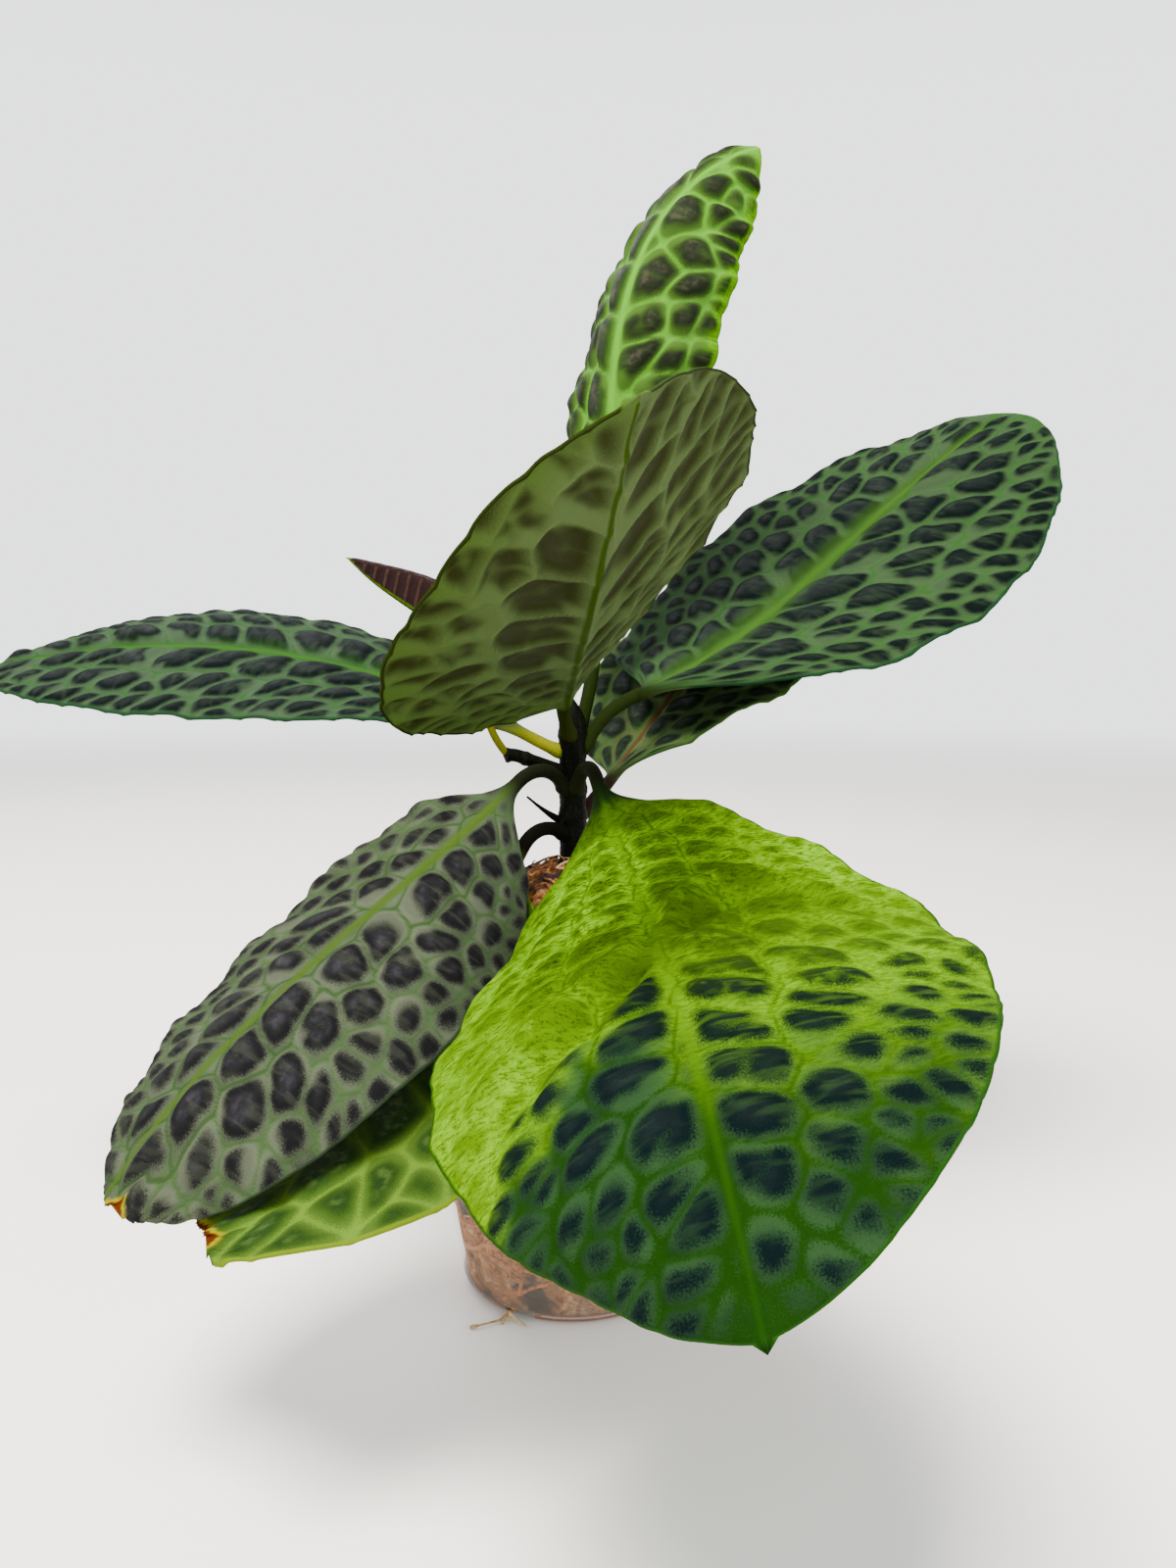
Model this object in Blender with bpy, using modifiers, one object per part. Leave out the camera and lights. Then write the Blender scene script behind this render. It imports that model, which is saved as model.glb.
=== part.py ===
"""A potted ardisia: nine quilted leaves on one short stem, in sphagnum, in a clear flared nursery cup.

Metres, +Z up. The origin is the middle of the cup's foot, on the floor, and the stem stands on the Z axis.
Headings are turned from +X towards +Y. The plant is seen from -Y.
"""
import math
from dataclasses import dataclass

import bmesh
import bpy
import numpy as np
from mathutils import Matrix

GAP = 0.0003  # clearance between pieces that touch
SHARP_EDGE = math.radians(40)  # edges that turn by more are shaded sharp
MIDRIB_STEPS = 400

# Cup
CUP_HEIGHT = 0.096
CUP_FOOT_RADIUS = 0.029
CUP_HEEL = 0.0046  # round between the foot and the wall
CUP_FLARE = math.radians(10.7)  # lean of the wall from upright
CUP_WALL = 0.0010
CUP_BEAD = 0.0014  # how far the rim's bead stands out, and a third of its depth
CUP_SIDES = 44
NOTCH_COUNT = 4
NOTCH_HEADING = math.radians(243)  # the notch that the roots leave by
NOTCH_WIDTH = 0.0090
NOTCH_HEIGHT = 0.0030

# Substrate
MOSS_EDGE = 0.0905  # height where the moss meets the wall
MOSS_CROWN = 0.1265  # height of the heap at the stem
MOSS_BELL = 1.3  # power of the heap's fall from the stem to the wall
MOSS_LUMP = 0.0016  # height of its lumps
MOSS_RINGS = 9
LUMP_TURNS = (5, 11)  # lumps round the heap, in two sizes
LUMP_RINGS = (260.0, 390.0, -500.0)  # lumps from the stem out, in radians a metre

# Stem
STEM_FOOT = 0.074  # depth that its hole reaches down to
STEM_TOP = 0.1665
STEM_RADIUS = 0.0042
STEM_FLARE = 1.1  # how much thicker the stem is in the moss
STEM_KNUCKLE = 0.0022  # half length of the swelling where a leaf leaves it
STEM_STEPS = 16
BUD_LENGTH = 0.0080
TWIG_HEADING = math.radians(200)
TWIG_REACH = 0.0197
TWIG_ROOT = 0.1525
TWIG_END = 0.1585
TWIG_RADIUS = 0.0020
SPUR_HEADING = math.radians(192)
SPUR_ROOT = 0.1375
SPUR_RISE = 0.0085
SPUR_REACH = 0.0135
SPUR_RADII = (0.0018, 0.0013, 0.0008, 0.0004)

# Leaves
STALK_START = STEM_RADIUS + 0.0004  # distance from the stem's axis where a leaf stalk begins
STALK_RINGS = 3
BLADE = 0.0009  # thickness of a blade
CELLS = (0.0, 0.20, 0.40, 0.57, 0.74, 0.88, 1.0)  # midrib to margin: veins at even places, cells at odd ones
CHEVRON = 0.065  # how far the side veins sweep towards the tip, as a share of the blade
CROWD = 0.5  # share by which the rows draw together at both ends of a blade
SCALLOP = 0.018  # share of the half width by which the margin swells at each cell
NET_ALONG = 0.30  # height of the veins between the cells of one row, as a share of a cell's height
NET_ACROSS = 0.15  # the same of the side veins between two rows
RIB_SHARE = 0.20  # the same along the midrib
BASE_FADE = 0.12  # share of the blade over which the stalk turns into it
TIP_FADE = 0.08  # share of the blade over which the relief dies out at the tip
STALK_ARC = math.radians(80)  # half of the stalk's section that each face of the leaf takes
WAVE = 0.0011  # height of the margin's slow waves
WAVES = 3.5
BREAK = 0.965  # share of the blade that a broken tip leaves
GROOVE = 0.0020  # depth of the groove along a closed leaf's top

# Escaped roots
ROOT_RADIUS = 0.00045
ROOT_KNOT = 0.0009
ROOT_LIE = ROOT_RADIUS + 0.0002  # height of a root's middle where it lies on the floor
KNOT_RADIUS = 0.0336  # the knot's place in the mouth of the notch
KNOT_HEADING = math.radians(238)
KNOT_HEIGHT = 0.0015
ROOT_RUNS = (  # distance from the cup's axis and heading in degrees of each root's points on the floor
    ((0.0365, 235.5), (0.0400, 233.5), (0.0445, 230.5)),
    ((0.0355, 239.5), (0.0375, 238.5)),
    ((0.0350, 246.0), (0.0362, 249.0)),
)


@dataclass(frozen=True)
class Leaf:
    """One leaf: where its stalk leaves the stem, how its midrib runs and how wide it is.

    heading, pitch and roll give the midrib's direction at the base, the middle and the tip of the blade, in
    degrees. The stalk turns evenly from its own heading and pitch into the blade's. Right and left are as
    seen from the base, with the upper face up.
    """

    name: str
    height: float  # where the stalk leaves the stem
    stalk: float  # length of the stalk
    length: float  # length of the blade
    half_right: float
    half_left: float
    stalk_heading: float
    stalk_pitch: float
    heading: tuple
    pitch: tuple
    roll: tuple
    base_power: float  # low is blunt, high is drawn out
    tip_power: float
    fold: float  # rise of each half beside the midrib, in degrees
    curl_right: float  # further turn out to the margin, in degrees
    curl_left: float
    colour: tuple
    rows: int = 22
    start: float = STALK_START
    stalk_radius: float = 0.0020
    quilt: float = 0.0017  # height of the cells above the net
    drip: float = 0.002  # how far the point runs on past the blade
    broken: bool = False  # the tip is broken off
    closed: bool = False  # the two halves are still folded together


LEAVES = (
    Leaf("leaf_top", 0.164, 0.019, 0.176, 0.031, 0.036, 60, 60, (69, 34, -2), (65, 84, 15), (-43, -8, -50),
         1.0, 0.54, -12, -72, -22, (0.16, 0.38, 0.08)),
    Leaf("leaf_centre", 0.164, 0.017, 0.158, 0.046, 0.048, -105, 49, (-86, -85, -79), (13, 17, 43),
         (-35, -31, -38), 0.87, 0.50, 11, -12, 2, (0.10, 0.17, 0.04)),
    Leaf("leaf_right", 0.160, 0.021, 0.171, 0.067, 0.059, 5, 69, (27, 32, 4), (18, 36, 35), (3, -10, -11),
         0.38, 0.36, 4, -12, -8, (0.05, 0.17, 0.09), drip=0.001),
    Leaf("leaf_left", 0.159, 0.006, 0.184, 0.042, 0.048, 192, 24, (156, 170, 181), (24, 7, -15),
         (-1, 24, 19), 0.54, 0.48, 5, -30, -5, (0.08, 0.20, 0.12), stalk_radius=0.0018),
    Leaf("leaf_lower_left", 0.148, 0.019, 0.151, 0.033, 0.042, 230, 64, (217, 231, 201), (-38, -27, -59),
         (50, 4, 22), 0.68, 0.50, -4, -16, -33, (0.16, 0.24, 0.16), broken=True),
    Leaf("leaf_lower_back", 0.135, 0.019, 0.135, 0.036, 0.041, 226, 35, (235, 243, 205), (-48, -29, -20),
         (-2, 5, -5), 1.10, 0.57, 2, -8, -8, (0.22, 0.36, 0.08), broken=True),
    Leaf("leaf_front", 0.148, 0.024, 0.196, 0.053, 0.058, -72, 60, (-77, -86, -79), (-32, -6, -43),
         (-38, -13, -31), 0.94, 0.69, -2, -32, -13, (0.18, 0.42, 0.02), quilt=0.0020),
    Leaf("leaf_right_back", 0.140, 0.012, 0.125, 0.039, 0.037, 50, 32, (46, 45, 16), (37, 34, 6),
         (24, -8, -15), 0.66, 0.55, 5, -12, -9, (0.05, 0.14, 0.06), rows=18),
    Leaf("leaf_young", TWIG_END, 0.014, 0.078, 0.012, 0.012, 200, 48, (144, 136, 150), (77, 26, 43),
         (-5, -12, 2), 0.45, 0.77, 78, -10, -2, (0.10, 0.05, 0.05), rows=14, start=TWIG_REACH + GAP,
         stalk_radius=0.0011, quilt=0.0004, closed=True),
)


def clear_scene():
    """Remove every object that the new file starts with."""
    for obj in list(bpy.data.objects):
        bpy.data.objects.remove(obj, do_unlink=True)


def new_collection(name):
    """Add a collection to the scene."""
    made = bpy.data.collections.new(name)
    bpy.context.scene.collection.children.link(made)
    return made


def material(name, colour, roughness, alpha=1.0):
    """Make a Principled material that isn't metal."""
    made = bpy.data.materials.new(name)
    made.use_nodes = True
    shader = made.node_tree.nodes["Principled BSDF"]
    shader.inputs["Base Color"].default_value = (*colour, 1.0)
    shader.inputs["Roughness"].default_value = roughness
    shader.inputs["Metallic"].default_value = 0.0
    shader.inputs["Alpha"].default_value = alpha
    return made


def add_object(name, mesh, collection, finish=None):
    """Link a mesh into a collection as a smooth-shaded object."""
    obj = bpy.data.objects.new(name, mesh)
    collection.objects.link(obj)
    mesh.materials.clear()
    if finish is not None:
        mesh.materials.append(finish)
    mesh.shade_smooth()
    mesh.set_sharp_from_angle(angle=SHARP_EDGE)
    return obj


def evaluated_mesh(obj):
    """Return the mesh that an object's curve or modifiers give, with its loose caps welded."""
    bpy.context.view_layer.update()
    mesh = bpy.data.meshes.new_from_object(obj.evaluated_get(bpy.context.evaluated_depsgraph_get()))
    mesh.transform(obj.matrix_world)
    work = bmesh.new()
    work.from_mesh(mesh)
    bmesh.ops.remove_doubles(work, verts=work.verts, dist=0.00002)
    bmesh.ops.recalc_face_normals(work, faces=work.faces)
    work.to_mesh(mesh)
    work.free()
    return mesh


def turned(name, profile, collection, sides):
    """Turn a profile, listed from the axis over the top and down the outer side, into a closed mesh."""
    outline = bpy.data.meshes.new(name)
    points = [(radius, 0.0, height) for radius, height in profile]
    outline.from_pydata(points, [(i, i + 1) for i in range(len(points) - 1)], [])
    obj = bpy.data.objects.new(name, outline)
    collection.objects.link(obj)
    screw = obj.modifiers.new("turn", "SCREW")
    screw.steps = sides
    screw.render_steps = sides
    screw.use_merge_vertices = True
    screw.merge_threshold = 0.00001
    mesh = evaluated_mesh(obj)
    bpy.data.objects.remove(obj, do_unlink=True)
    return mesh


def tube(name, points, radii, collection, resolution=2):
    """Make a closed tube through points, with a radius at each, as a mesh object."""
    curve = bpy.data.curves.new(name, "CURVE")
    curve.dimensions = "3D"
    curve.bevel_depth = 1.0
    curve.bevel_resolution = resolution
    curve.use_fill_caps = True
    spline = curve.splines.new("POLY")
    spline.points.add(len(points) - 1)
    for place, point, radius in zip(spline.points, points, radii):
        place.co = (*point, 1.0)
        place.radius = radius
    obj = bpy.data.objects.new(name, curve)
    collection.objects.link(obj)
    mesh = evaluated_mesh(obj)
    bpy.data.objects.remove(obj, do_unlink=True)
    return add_object(name, mesh, collection)


def joined(name, pieces, collection, finish):
    """Union several closed pieces into one named object."""
    first = pieces[0]
    operands = new_collection(name + "_pieces")
    for piece in pieces[1:]:
        operands.objects.link(piece)
    union = first.modifiers.new("union", "BOOLEAN")
    union.operation = "UNION"
    union.solver = "EXACT"
    union.operand_type = "COLLECTION"
    union.collection = operands
    mesh = evaluated_mesh(first)
    for piece in pieces:
        bpy.data.objects.remove(piece, do_unlink=True)
    bpy.data.collections.remove(operands)
    return add_object(name, mesh, collection, finish)


def polar(radius, heading, height):
    """Point at a distance from the stem's axis, on a heading, at a height."""
    return (radius * math.cos(heading), radius * math.sin(heading), height)


def smooth_step(value):
    """Ease from 0 to 1: 3 v squared less 2 v cubed, held at the ends."""
    held = np.clip(value, 0.0, 1.0)
    return held * held * (3.0 - 2.0 * held)


def quadratic(values, share):
    """Smooth run through three values at the start, middle and end of a share from 0 to 1."""
    start, middle, end = values
    return (start * (2 * share - 1) * (share - 1) + 4 * middle * share * (1 - share)
            + end * share * (2 * share - 1))


def cup_heel(inset=0.0, steps=5):
    """Points of the cup's heel from the foot up, moved inward by inset.

    The heel is an arc on the foot's edge, and the wall leaves it at a tangent.
    """
    arc = CUP_HEEL - inset
    turns = [(math.pi / 2 - CUP_FLARE) * i / steps for i in range(steps + 1)]
    return [(CUP_FOOT_RADIUS + arc * math.sin(turn), CUP_HEEL - arc * math.cos(turn)) for turn in turns]


def cup_radius(height, inset=0.0):
    """Radius of the wall at a height above the heel, moved inward by inset."""
    heel_radius, heel_height = cup_heel(inset)[-1]
    return heel_radius + (height - heel_height) * math.tan(CUP_FLARE)


def make_cup(collection, guides):
    """The clear cup: foot, heel, flared wall and beaded rim, with drain notches cut at the foot."""
    outer = cup_radius(CUP_HEIGHT)
    inner = cup_radius(CUP_HEIGHT, CUP_WALL)
    soft = CUP_BEAD / 3
    profile = [
        (0.0, CUP_WALL),
        *cup_heel(CUP_WALL),
        (cup_radius(CUP_HEIGHT / 2, CUP_WALL), CUP_HEIGHT / 2),
        (inner - soft, CUP_HEIGHT - 2 * soft),
        (inner, CUP_HEIGHT),
        (outer + CUP_BEAD - soft, CUP_HEIGHT),
        (outer + CUP_BEAD, CUP_HEIGHT - soft),
        (outer + CUP_BEAD, CUP_HEIGHT - CUP_BEAD - soft),
        (outer - soft, CUP_HEIGHT - 2 * CUP_BEAD),
        (cup_radius(CUP_HEIGHT / 2), CUP_HEIGHT / 2),
        *cup_heel()[::-1],
        (0.0, 0.0),
    ]
    cup = add_object("pot", turned("pot", profile, collection, CUP_SIDES), collection)
    for i in range(NOTCH_COUNT):
        cut_notch(cup, NOTCH_HEADING + 2 * math.pi * i / NOTCH_COUNT, guides)
    mesh = evaluated_mesh(cup)
    bpy.data.objects.remove(cup, do_unlink=True)
    clear = material("clear_plastic", (0.82, 0.80, 0.76), 0.12, alpha=0.35)
    return add_object("pot", mesh, collection, clear)


def cut_notch(cup, heading, guides):
    """Cut one low drain notch through the heel."""
    reach = 2 * CUP_HEEL
    box = bpy.data.objects.new("notch_cutter", bpy.data.meshes.new("notch_cutter"))
    guides.objects.link(box)
    work = bmesh.new()
    bmesh.ops.create_cube(work, size=1.0)
    work.transform(Matrix.Diagonal((reach, NOTCH_WIDTH, 2 * NOTCH_HEIGHT, 1.0)))
    work.transform(Matrix.Translation((CUP_FOOT_RADIUS + CUP_HEEL / 2, 0.0, 0.0)))
    work.transform(Matrix.Rotation(heading, 4, "Z"))
    work.to_mesh(box.data)
    work.free()
    box.hide_render = True
    box.display_type = "WIRE"
    cut = cup.modifiers.new("notch", "BOOLEAN")
    cut.operation = "DIFFERENCE"
    cut.solver = "EXACT"
    cut.object = box


def moss_height(radius, edge_radius):
    """Height of the heaped moss: a bell that falls from the stem to the wall."""
    share = min(radius / edge_radius, 1.0)
    return MOSS_EDGE + (MOSS_CROWN - MOSS_EDGE) * (1.0 - share * share) ** MOSS_BELL


def moss_lump(x, y):
    """Height of the lumps at a place: a plait of two waves, and half as much of a finer one across it."""
    radius = math.hypot(x, y)
    turn = math.atan2(y, x)
    plait = math.sin(LUMP_TURNS[0] * turn + LUMP_RINGS[0] * radius) * math.sin(LUMP_RINGS[1] * radius)
    return MOSS_LUMP * (plait + 0.5 * math.sin(LUMP_TURNS[1] * turn + LUMP_RINGS[2] * radius))


def make_substrate(collection):
    """The plug of sphagnum: the cup's inside less a gap, a lumpy heap on top, and a hole for the stem."""
    inset = CUP_WALL + GAP
    edge_radius = cup_radius(MOSS_EDGE, inset)
    hole = STEM_RADIUS * STEM_FLARE + GAP
    profile = [(0.0, STEM_FOOT - GAP), (hole, STEM_FOOT - GAP)]
    for i in range(MOSS_RINGS):
        radius = hole + (edge_radius - hole) * i / MOSS_RINGS
        profile.append((radius, moss_height(radius, edge_radius)))
    profile += [(edge_radius, MOSS_EDGE), (cup_radius(CUP_HEIGHT / 2, inset), CUP_HEIGHT / 2)]
    profile += [*cup_heel(inset)[::-1], (0.0, inset)]
    mesh = turned("substrate", profile, collection, CUP_SIDES)
    for vertex in mesh.vertices:
        x, y, z = vertex.co
        if z > MOSS_EDGE + GAP and math.hypot(x, y) > 1.5 * hole:
            vertex.co.z += moss_lump(x, y)
    return add_object("substrate", mesh, collection, material("sphagnum", (0.36, 0.20, 0.10), 0.95))


def stem_radius(height):
    """Radius of the stem: even below, a little thinner above, and swollen where each leaf leaves it."""
    thin = 0.90 * STEM_RADIUS
    stalks = [leaf.height for leaf in LEAVES if not leaf.closed]
    swell = max(math.exp(-((height - stalk) / STEM_KNUCKLE) ** 2) for stalk in stalks)
    return thin + (STEM_RADIUS - thin) * swell


def make_stem(collection):
    """The upright stem with its bud, the side twig that carries the young leaf, and the thin dry spur."""
    flared = STEM_FLARE * STEM_RADIUS
    shaft = [(STEM_FOOT, flared), (MOSS_CROWN - flared, flared)]
    for i in range(STEM_STEPS + 1):
        height = MOSS_CROWN + (STEM_TOP - MOSS_CROWN) * i / STEM_STEPS
        shaft.append((height, stem_radius(height)))
    for share, width in ((0.5, 0.6), (1.0, 0.15)):
        shaft.append((STEM_TOP + BUD_LENGTH * share, STEM_RADIUS * width))
    upright = tube("upright", [(0.0, 0.0, height) for height, _ in shaft], [radius for _, radius in shaft],
                   collection, resolution=4)
    twig_points = [polar(TWIG_REACH * share, TWIG_HEADING, TWIG_ROOT + (TWIG_END - TWIG_ROOT) * rise)
                   for share, rise in ((0.0, 0.0), (0.35, 0.36), (0.68, 0.75), (0.88, 0.98), (1.0, 1.0))]
    twig_radii = [TWIG_RADIUS * width for width in (1.1, 1.0, 0.95, 1.0, 1.0)]
    twig = tube("twig", twig_points, twig_radii, collection)
    spur_points = [polar(SPUR_REACH * share, SPUR_HEADING, SPUR_ROOT + SPUR_RISE * rise)
                   for share, rise in ((0.0, 0.0), (0.35, 0.22), (0.7, 0.6), (1.0, 1.0))]
    spur = tube("spur", spur_points, SPUR_RADII, collection)
    bark = material("stem_bark", (0.012, 0.018, 0.010), 0.6)
    return joined("stem", [upright, twig, spur], collection, bark)


def midrib_frames(leaf, along):
    """Points, side directions and upward normals of the midrib at distances along the stalk and blade.

    The direction is turned by heading and pitch, and its points are its running sum in small steps.
    """
    total = leaf.stalk + leaf.length
    steps = np.linspace(0.0, total, MIDRIB_STEPS + 1)
    stalk_share = np.clip(steps / leaf.stalk, 0.0, 1.0)
    blade_share = np.clip((steps - leaf.stalk) / leaf.length, 0.0, 1.0)
    on_stalk = steps < leaf.stalk
    swing = leaf.heading[0] % 360 - leaf.stalk_heading % 360
    stalk_heading = leaf.stalk_heading + swing * stalk_share
    stalk_pitch = leaf.stalk_pitch + (leaf.pitch[0] - leaf.stalk_pitch) * stalk_share
    heading = np.radians(np.where(on_stalk, stalk_heading, quadratic(leaf.heading, blade_share)))
    pitch = np.radians(np.where(on_stalk, stalk_pitch, quadratic(leaf.pitch, blade_share)))
    roll = np.radians(np.where(on_stalk, leaf.roll[0] * stalk_share, quadratic(leaf.roll, blade_share)))
    level_share = np.cos(pitch)
    tangent = np.stack([level_share * np.cos(heading), level_share * np.sin(heading), np.sin(pitch)], -1)
    level = np.stack([np.sin(heading), -np.cos(heading), np.zeros_like(heading)], -1)
    above = np.cross(level, tangent)
    side = np.cos(roll)[:, None] * level + np.sin(roll)[:, None] * above
    normal = np.cos(roll)[:, None] * above - np.sin(roll)[:, None] * level
    side[0], normal[0] = level[0], (0.0, 0.0, 1.0)
    start = np.array(polar(leaf.start, math.radians(leaf.stalk_heading), leaf.height))
    moves = 0.5 * (tangent[1:] + tangent[:-1]) * (total / MIDRIB_STEPS)
    track = start + np.concatenate([np.zeros((1, 3)), np.cumsum(moves, axis=0)])

    def read(values):
        return np.stack([np.interp(along, steps, values[:, axis]) for axis in range(3)], -1)

    return read(track), read(side), read(normal)


def half_width(leaf, share):
    """Share of the full half width along the blade: a power curve at base and tip, 1 at its widest."""
    peak = leaf.base_power / (leaf.base_power + leaf.tip_power)
    top = peak ** leaf.base_power * (1 - peak) ** leaf.tip_power
    inside = np.clip(share, 0.0, 1.0)
    return inside ** leaf.base_power * (1 - inside) ** leaf.tip_power / top


def leaf_mesh(leaf):
    """Loft one leaf from rings: round along the stalk, then thin, quilted and keeled along the blade.

    A ring runs over the upper face from the left margin to the right one and back under it, and both faces
    are split alike. The places across are the veins and cells of CELLS, and the rows alternate between them
    too, so each cell is a low dome inside a net of veins.
    """
    places = np.array([-cell for cell in CELLS[:0:-1]] + list(CELLS))
    column = np.abs(np.arange(len(places)) - (len(CELLS) - 1))
    out = np.abs(places)
    sign = np.where(places < 0, -1.0, 1.0)

    # Shares along the blade, with the stalk's rings before them
    last = BREAK if leaf.broken else 1.0 - (1.0 - CROWD) / leaf.rows
    even = np.linspace(0.0, 1.0, leaf.rows)
    blade_rows = last * (even - CROWD * np.sin(2 * math.pi * even) / (2 * math.pi))
    stalk_rows = (np.arange(STALK_RINGS) / STALK_RINGS - 1.0) * leaf.stalk / leaf.length
    rows = np.concatenate([stalk_rows, blade_rows])[:, None]
    inside = np.clip(rows, 0.0, 1.0)
    share = rows + CHEVRON * out ** 1.4 * 4.0 * inside * (last - inside) * (inside < last)
    odd_row = (np.arange(len(rows)) - STALK_RINGS) % 2 == 1
    odd_cell = column % 2 == 1
    point, side, normal = midrib_frames(leaf, leaf.stalk + share * leaf.length)

    # Place of each point across the blade, on an arc from the fold out to the margin
    fold = math.radians(leaf.fold)
    curl = np.radians(np.where(places > 0, leaf.curl_right, leaf.curl_left))
    lean = fold + curl * out
    width = half_width(leaf, share) * np.where(places > 0, leaf.half_right, leaf.half_left)
    width = width * (1.0 + SCALLOP * np.where(odd_row, 1.0, -1.0)[:, None] * (out == 1.0))
    across = width * sign * (np.sin(lean) - math.sin(fold)) / curl
    rise = width * (math.cos(fold) - np.cos(lean)) / curl

    # Height of the quilting, and of the margin's waves
    ease = smooth_step(inside / BASE_FADE)
    ends = ease * smooth_step((1.0 - inside) / TIP_FADE)
    cell_row = np.where(odd_cell, 1.0, NET_ALONG)
    vein_row = np.where(odd_cell, NET_ACROSS, 0.0)
    dome = np.where(odd_row[:, None], cell_row, vein_row)
    dome = dome * np.where(column == 0, RIB_SHARE, 1.0)
    wave = WAVE * out ** 3 * np.sin(2 * math.pi * WAVES * share + 1.3 * sign)
    lift = ends * (leaf.quilt * dome + (0.0 if leaf.closed else wave))
    lean_x = -np.sin(lean) * sign * (column > 0)
    lean_z = np.where(column > 0, np.cos(lean), 1.0)
    keel = np.where(column == 0, leaf.stalk_radius * (1.0 - inside) ** 0.8, 0.0)
    top_x = across + lean_x * (lift + BLADE / 2)
    top_z = rise + lean_z * (lift + BLADE / 2)
    low_x = across + lean_x * (lift - BLADE / 2)
    low_z = rise + lean_z * (lift - BLADE / 2) - keel
    if leaf.closed:
        top_x = across * 0.8
        groove = GROOVE * (1.0 - out) * width / max(leaf.half_left, leaf.half_right)
        top_z = rise[:, :1] + BLADE / 2 - groove

    # Round section of the stalk, eased into the blade's
    ring_angle = places * STALK_ARC
    round_x, round_z = leaf.stalk_radius * np.sin(ring_angle), leaf.stalk_radius * np.cos(ring_angle)

    def placed(x, z, round_up):
        flat_x = (1.0 - ease) * round_x + ease * x
        flat_z = (1.0 - ease) * round_z * round_up + ease * z
        return point + side * flat_x[..., None] + normal * flat_z[..., None]

    upper = placed(top_x, top_z, 1.0)
    under = placed(low_x, low_z, -1.0)
    return lofted(leaf, np.concatenate([upper, under[:, ::-1]], axis=1), leaf_point(leaf))


def leaf_point(leaf):
    """The two points, upper and under, of the leaf's tip."""
    end = leaf.stalk + leaf.length
    spots, _, normals = midrib_frames(leaf, np.array([end - 0.001, end]))
    tip = spots[1] + (spots[1] - spots[0]) / 0.001 * leaf.drip
    return [tip + normals[1] * BLADE / 3, tip - normals[1] * BLADE / 3]


def lofted(leaf, rings, tip):
    """Skin the rings with triangles, mirrored about the midrib, alike on both faces, and close both ends."""
    count, size, _ = rings.shape
    half = size // 2
    points = [tuple(spot) for spot in rings.reshape(-1, 3)]
    faces = [tuple(range(size))]
    for i in range(count - 1):
        for j in range(size):
            a, b = i * size + j, i * size + (j + 1) % size
            c, d = b + size, a + size
            across = j if j < half else size - 2 - j
            if across < (half - 1) // 2:
                faces += [(a, b, c), (a, c, d)] if j < half else [(a, b, d), (b, c, d)]
            else:
                faces += [(a, b, d), (b, c, d)] if j < half else [(a, b, c), (a, c, d)]
    last = (count - 1) * size
    if leaf.broken:
        for j in range(half - 1):
            a, b = last + j, last + j + 1
            c, d = last + size - 2 - j, last + size - 1 - j
            faces += [(a, b, c), (a, c, d)]
    else:
        points += [tuple(spot) for spot in tip]
        upper, under = len(points) - 2, len(points) - 1
        for j in range(half - 1):
            faces.append((last + j, last + j + 1, upper))
            faces.append((last + half + j, last + half + j + 1, under))
        faces += [(last + half - 1, last + half, under), (last + half - 1, under, upper)]
        faces += [(last + size - 1, last, upper), (last + size - 1, upper, under)]
    mesh = bpy.data.meshes.new(leaf.name)
    mesh.from_pydata(points, [], faces)
    work = bmesh.new()
    work.from_mesh(mesh)
    bmesh.ops.recalc_face_normals(work, faces=work.faces)
    work.to_mesh(mesh)
    work.free()
    return mesh


def make_roots(collection):
    """The few roots that leave by the notch: one knot in its mouth, and thin ends lying on the floor."""
    knot = polar(KNOT_RADIUS, KNOT_HEADING, KNOT_HEIGHT)
    plug_side = polar(cup_heel(CUP_WALL + GAP)[2][0] + 2 * GAP, KNOT_HEADING, KNOT_HEIGHT)
    pieces = [tube("root_inner", [plug_side, knot], [ROOT_RADIUS, ROOT_KNOT], collection)]
    for run in ROOT_RUNS:
        path = [polar(radius, math.radians(heading), ROOT_LIE) for radius, heading in run]
        radii = [ROOT_KNOT * 0.8] + [ROOT_RADIUS] * (len(path) - 1) + [ROOT_RADIUS * 0.7]
        pieces.append(tube("root_run", [knot, *path], radii, collection))
    return joined("escaped_roots", pieces, collection, material("dry_root", (0.30, 0.20, 0.11), 0.8))


def main():
    """Build every piece of the potted plant."""
    clear_scene()
    plant = new_collection("potted_ardisia")
    guides = new_collection("guides")
    make_cup(plant, guides)
    make_substrate(plant)
    make_stem(plant)
    for leaf in LEAVES:
        add_object(leaf.name, leaf_mesh(leaf), plant, material(leaf.name + "_green", leaf.colour, 0.5))
    make_roots(plant)


main()
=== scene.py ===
"""Looks of a potted ardisia: nine quilted leaves on a short dark stem, in moss, in a clear flared cup.

Lengths are in millimetres inside the classes and become metres in the meshes. Places on and round the cup
are radius, heading in degrees and height. The origin is the middle of the cup's foot, +Z is up, and the
camera looks along +Y.
"""
import logging
import math
from dataclasses import dataclass
from enum import Enum

import bmesh
import bpy
import numpy as np
from mathutils import Matrix


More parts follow.
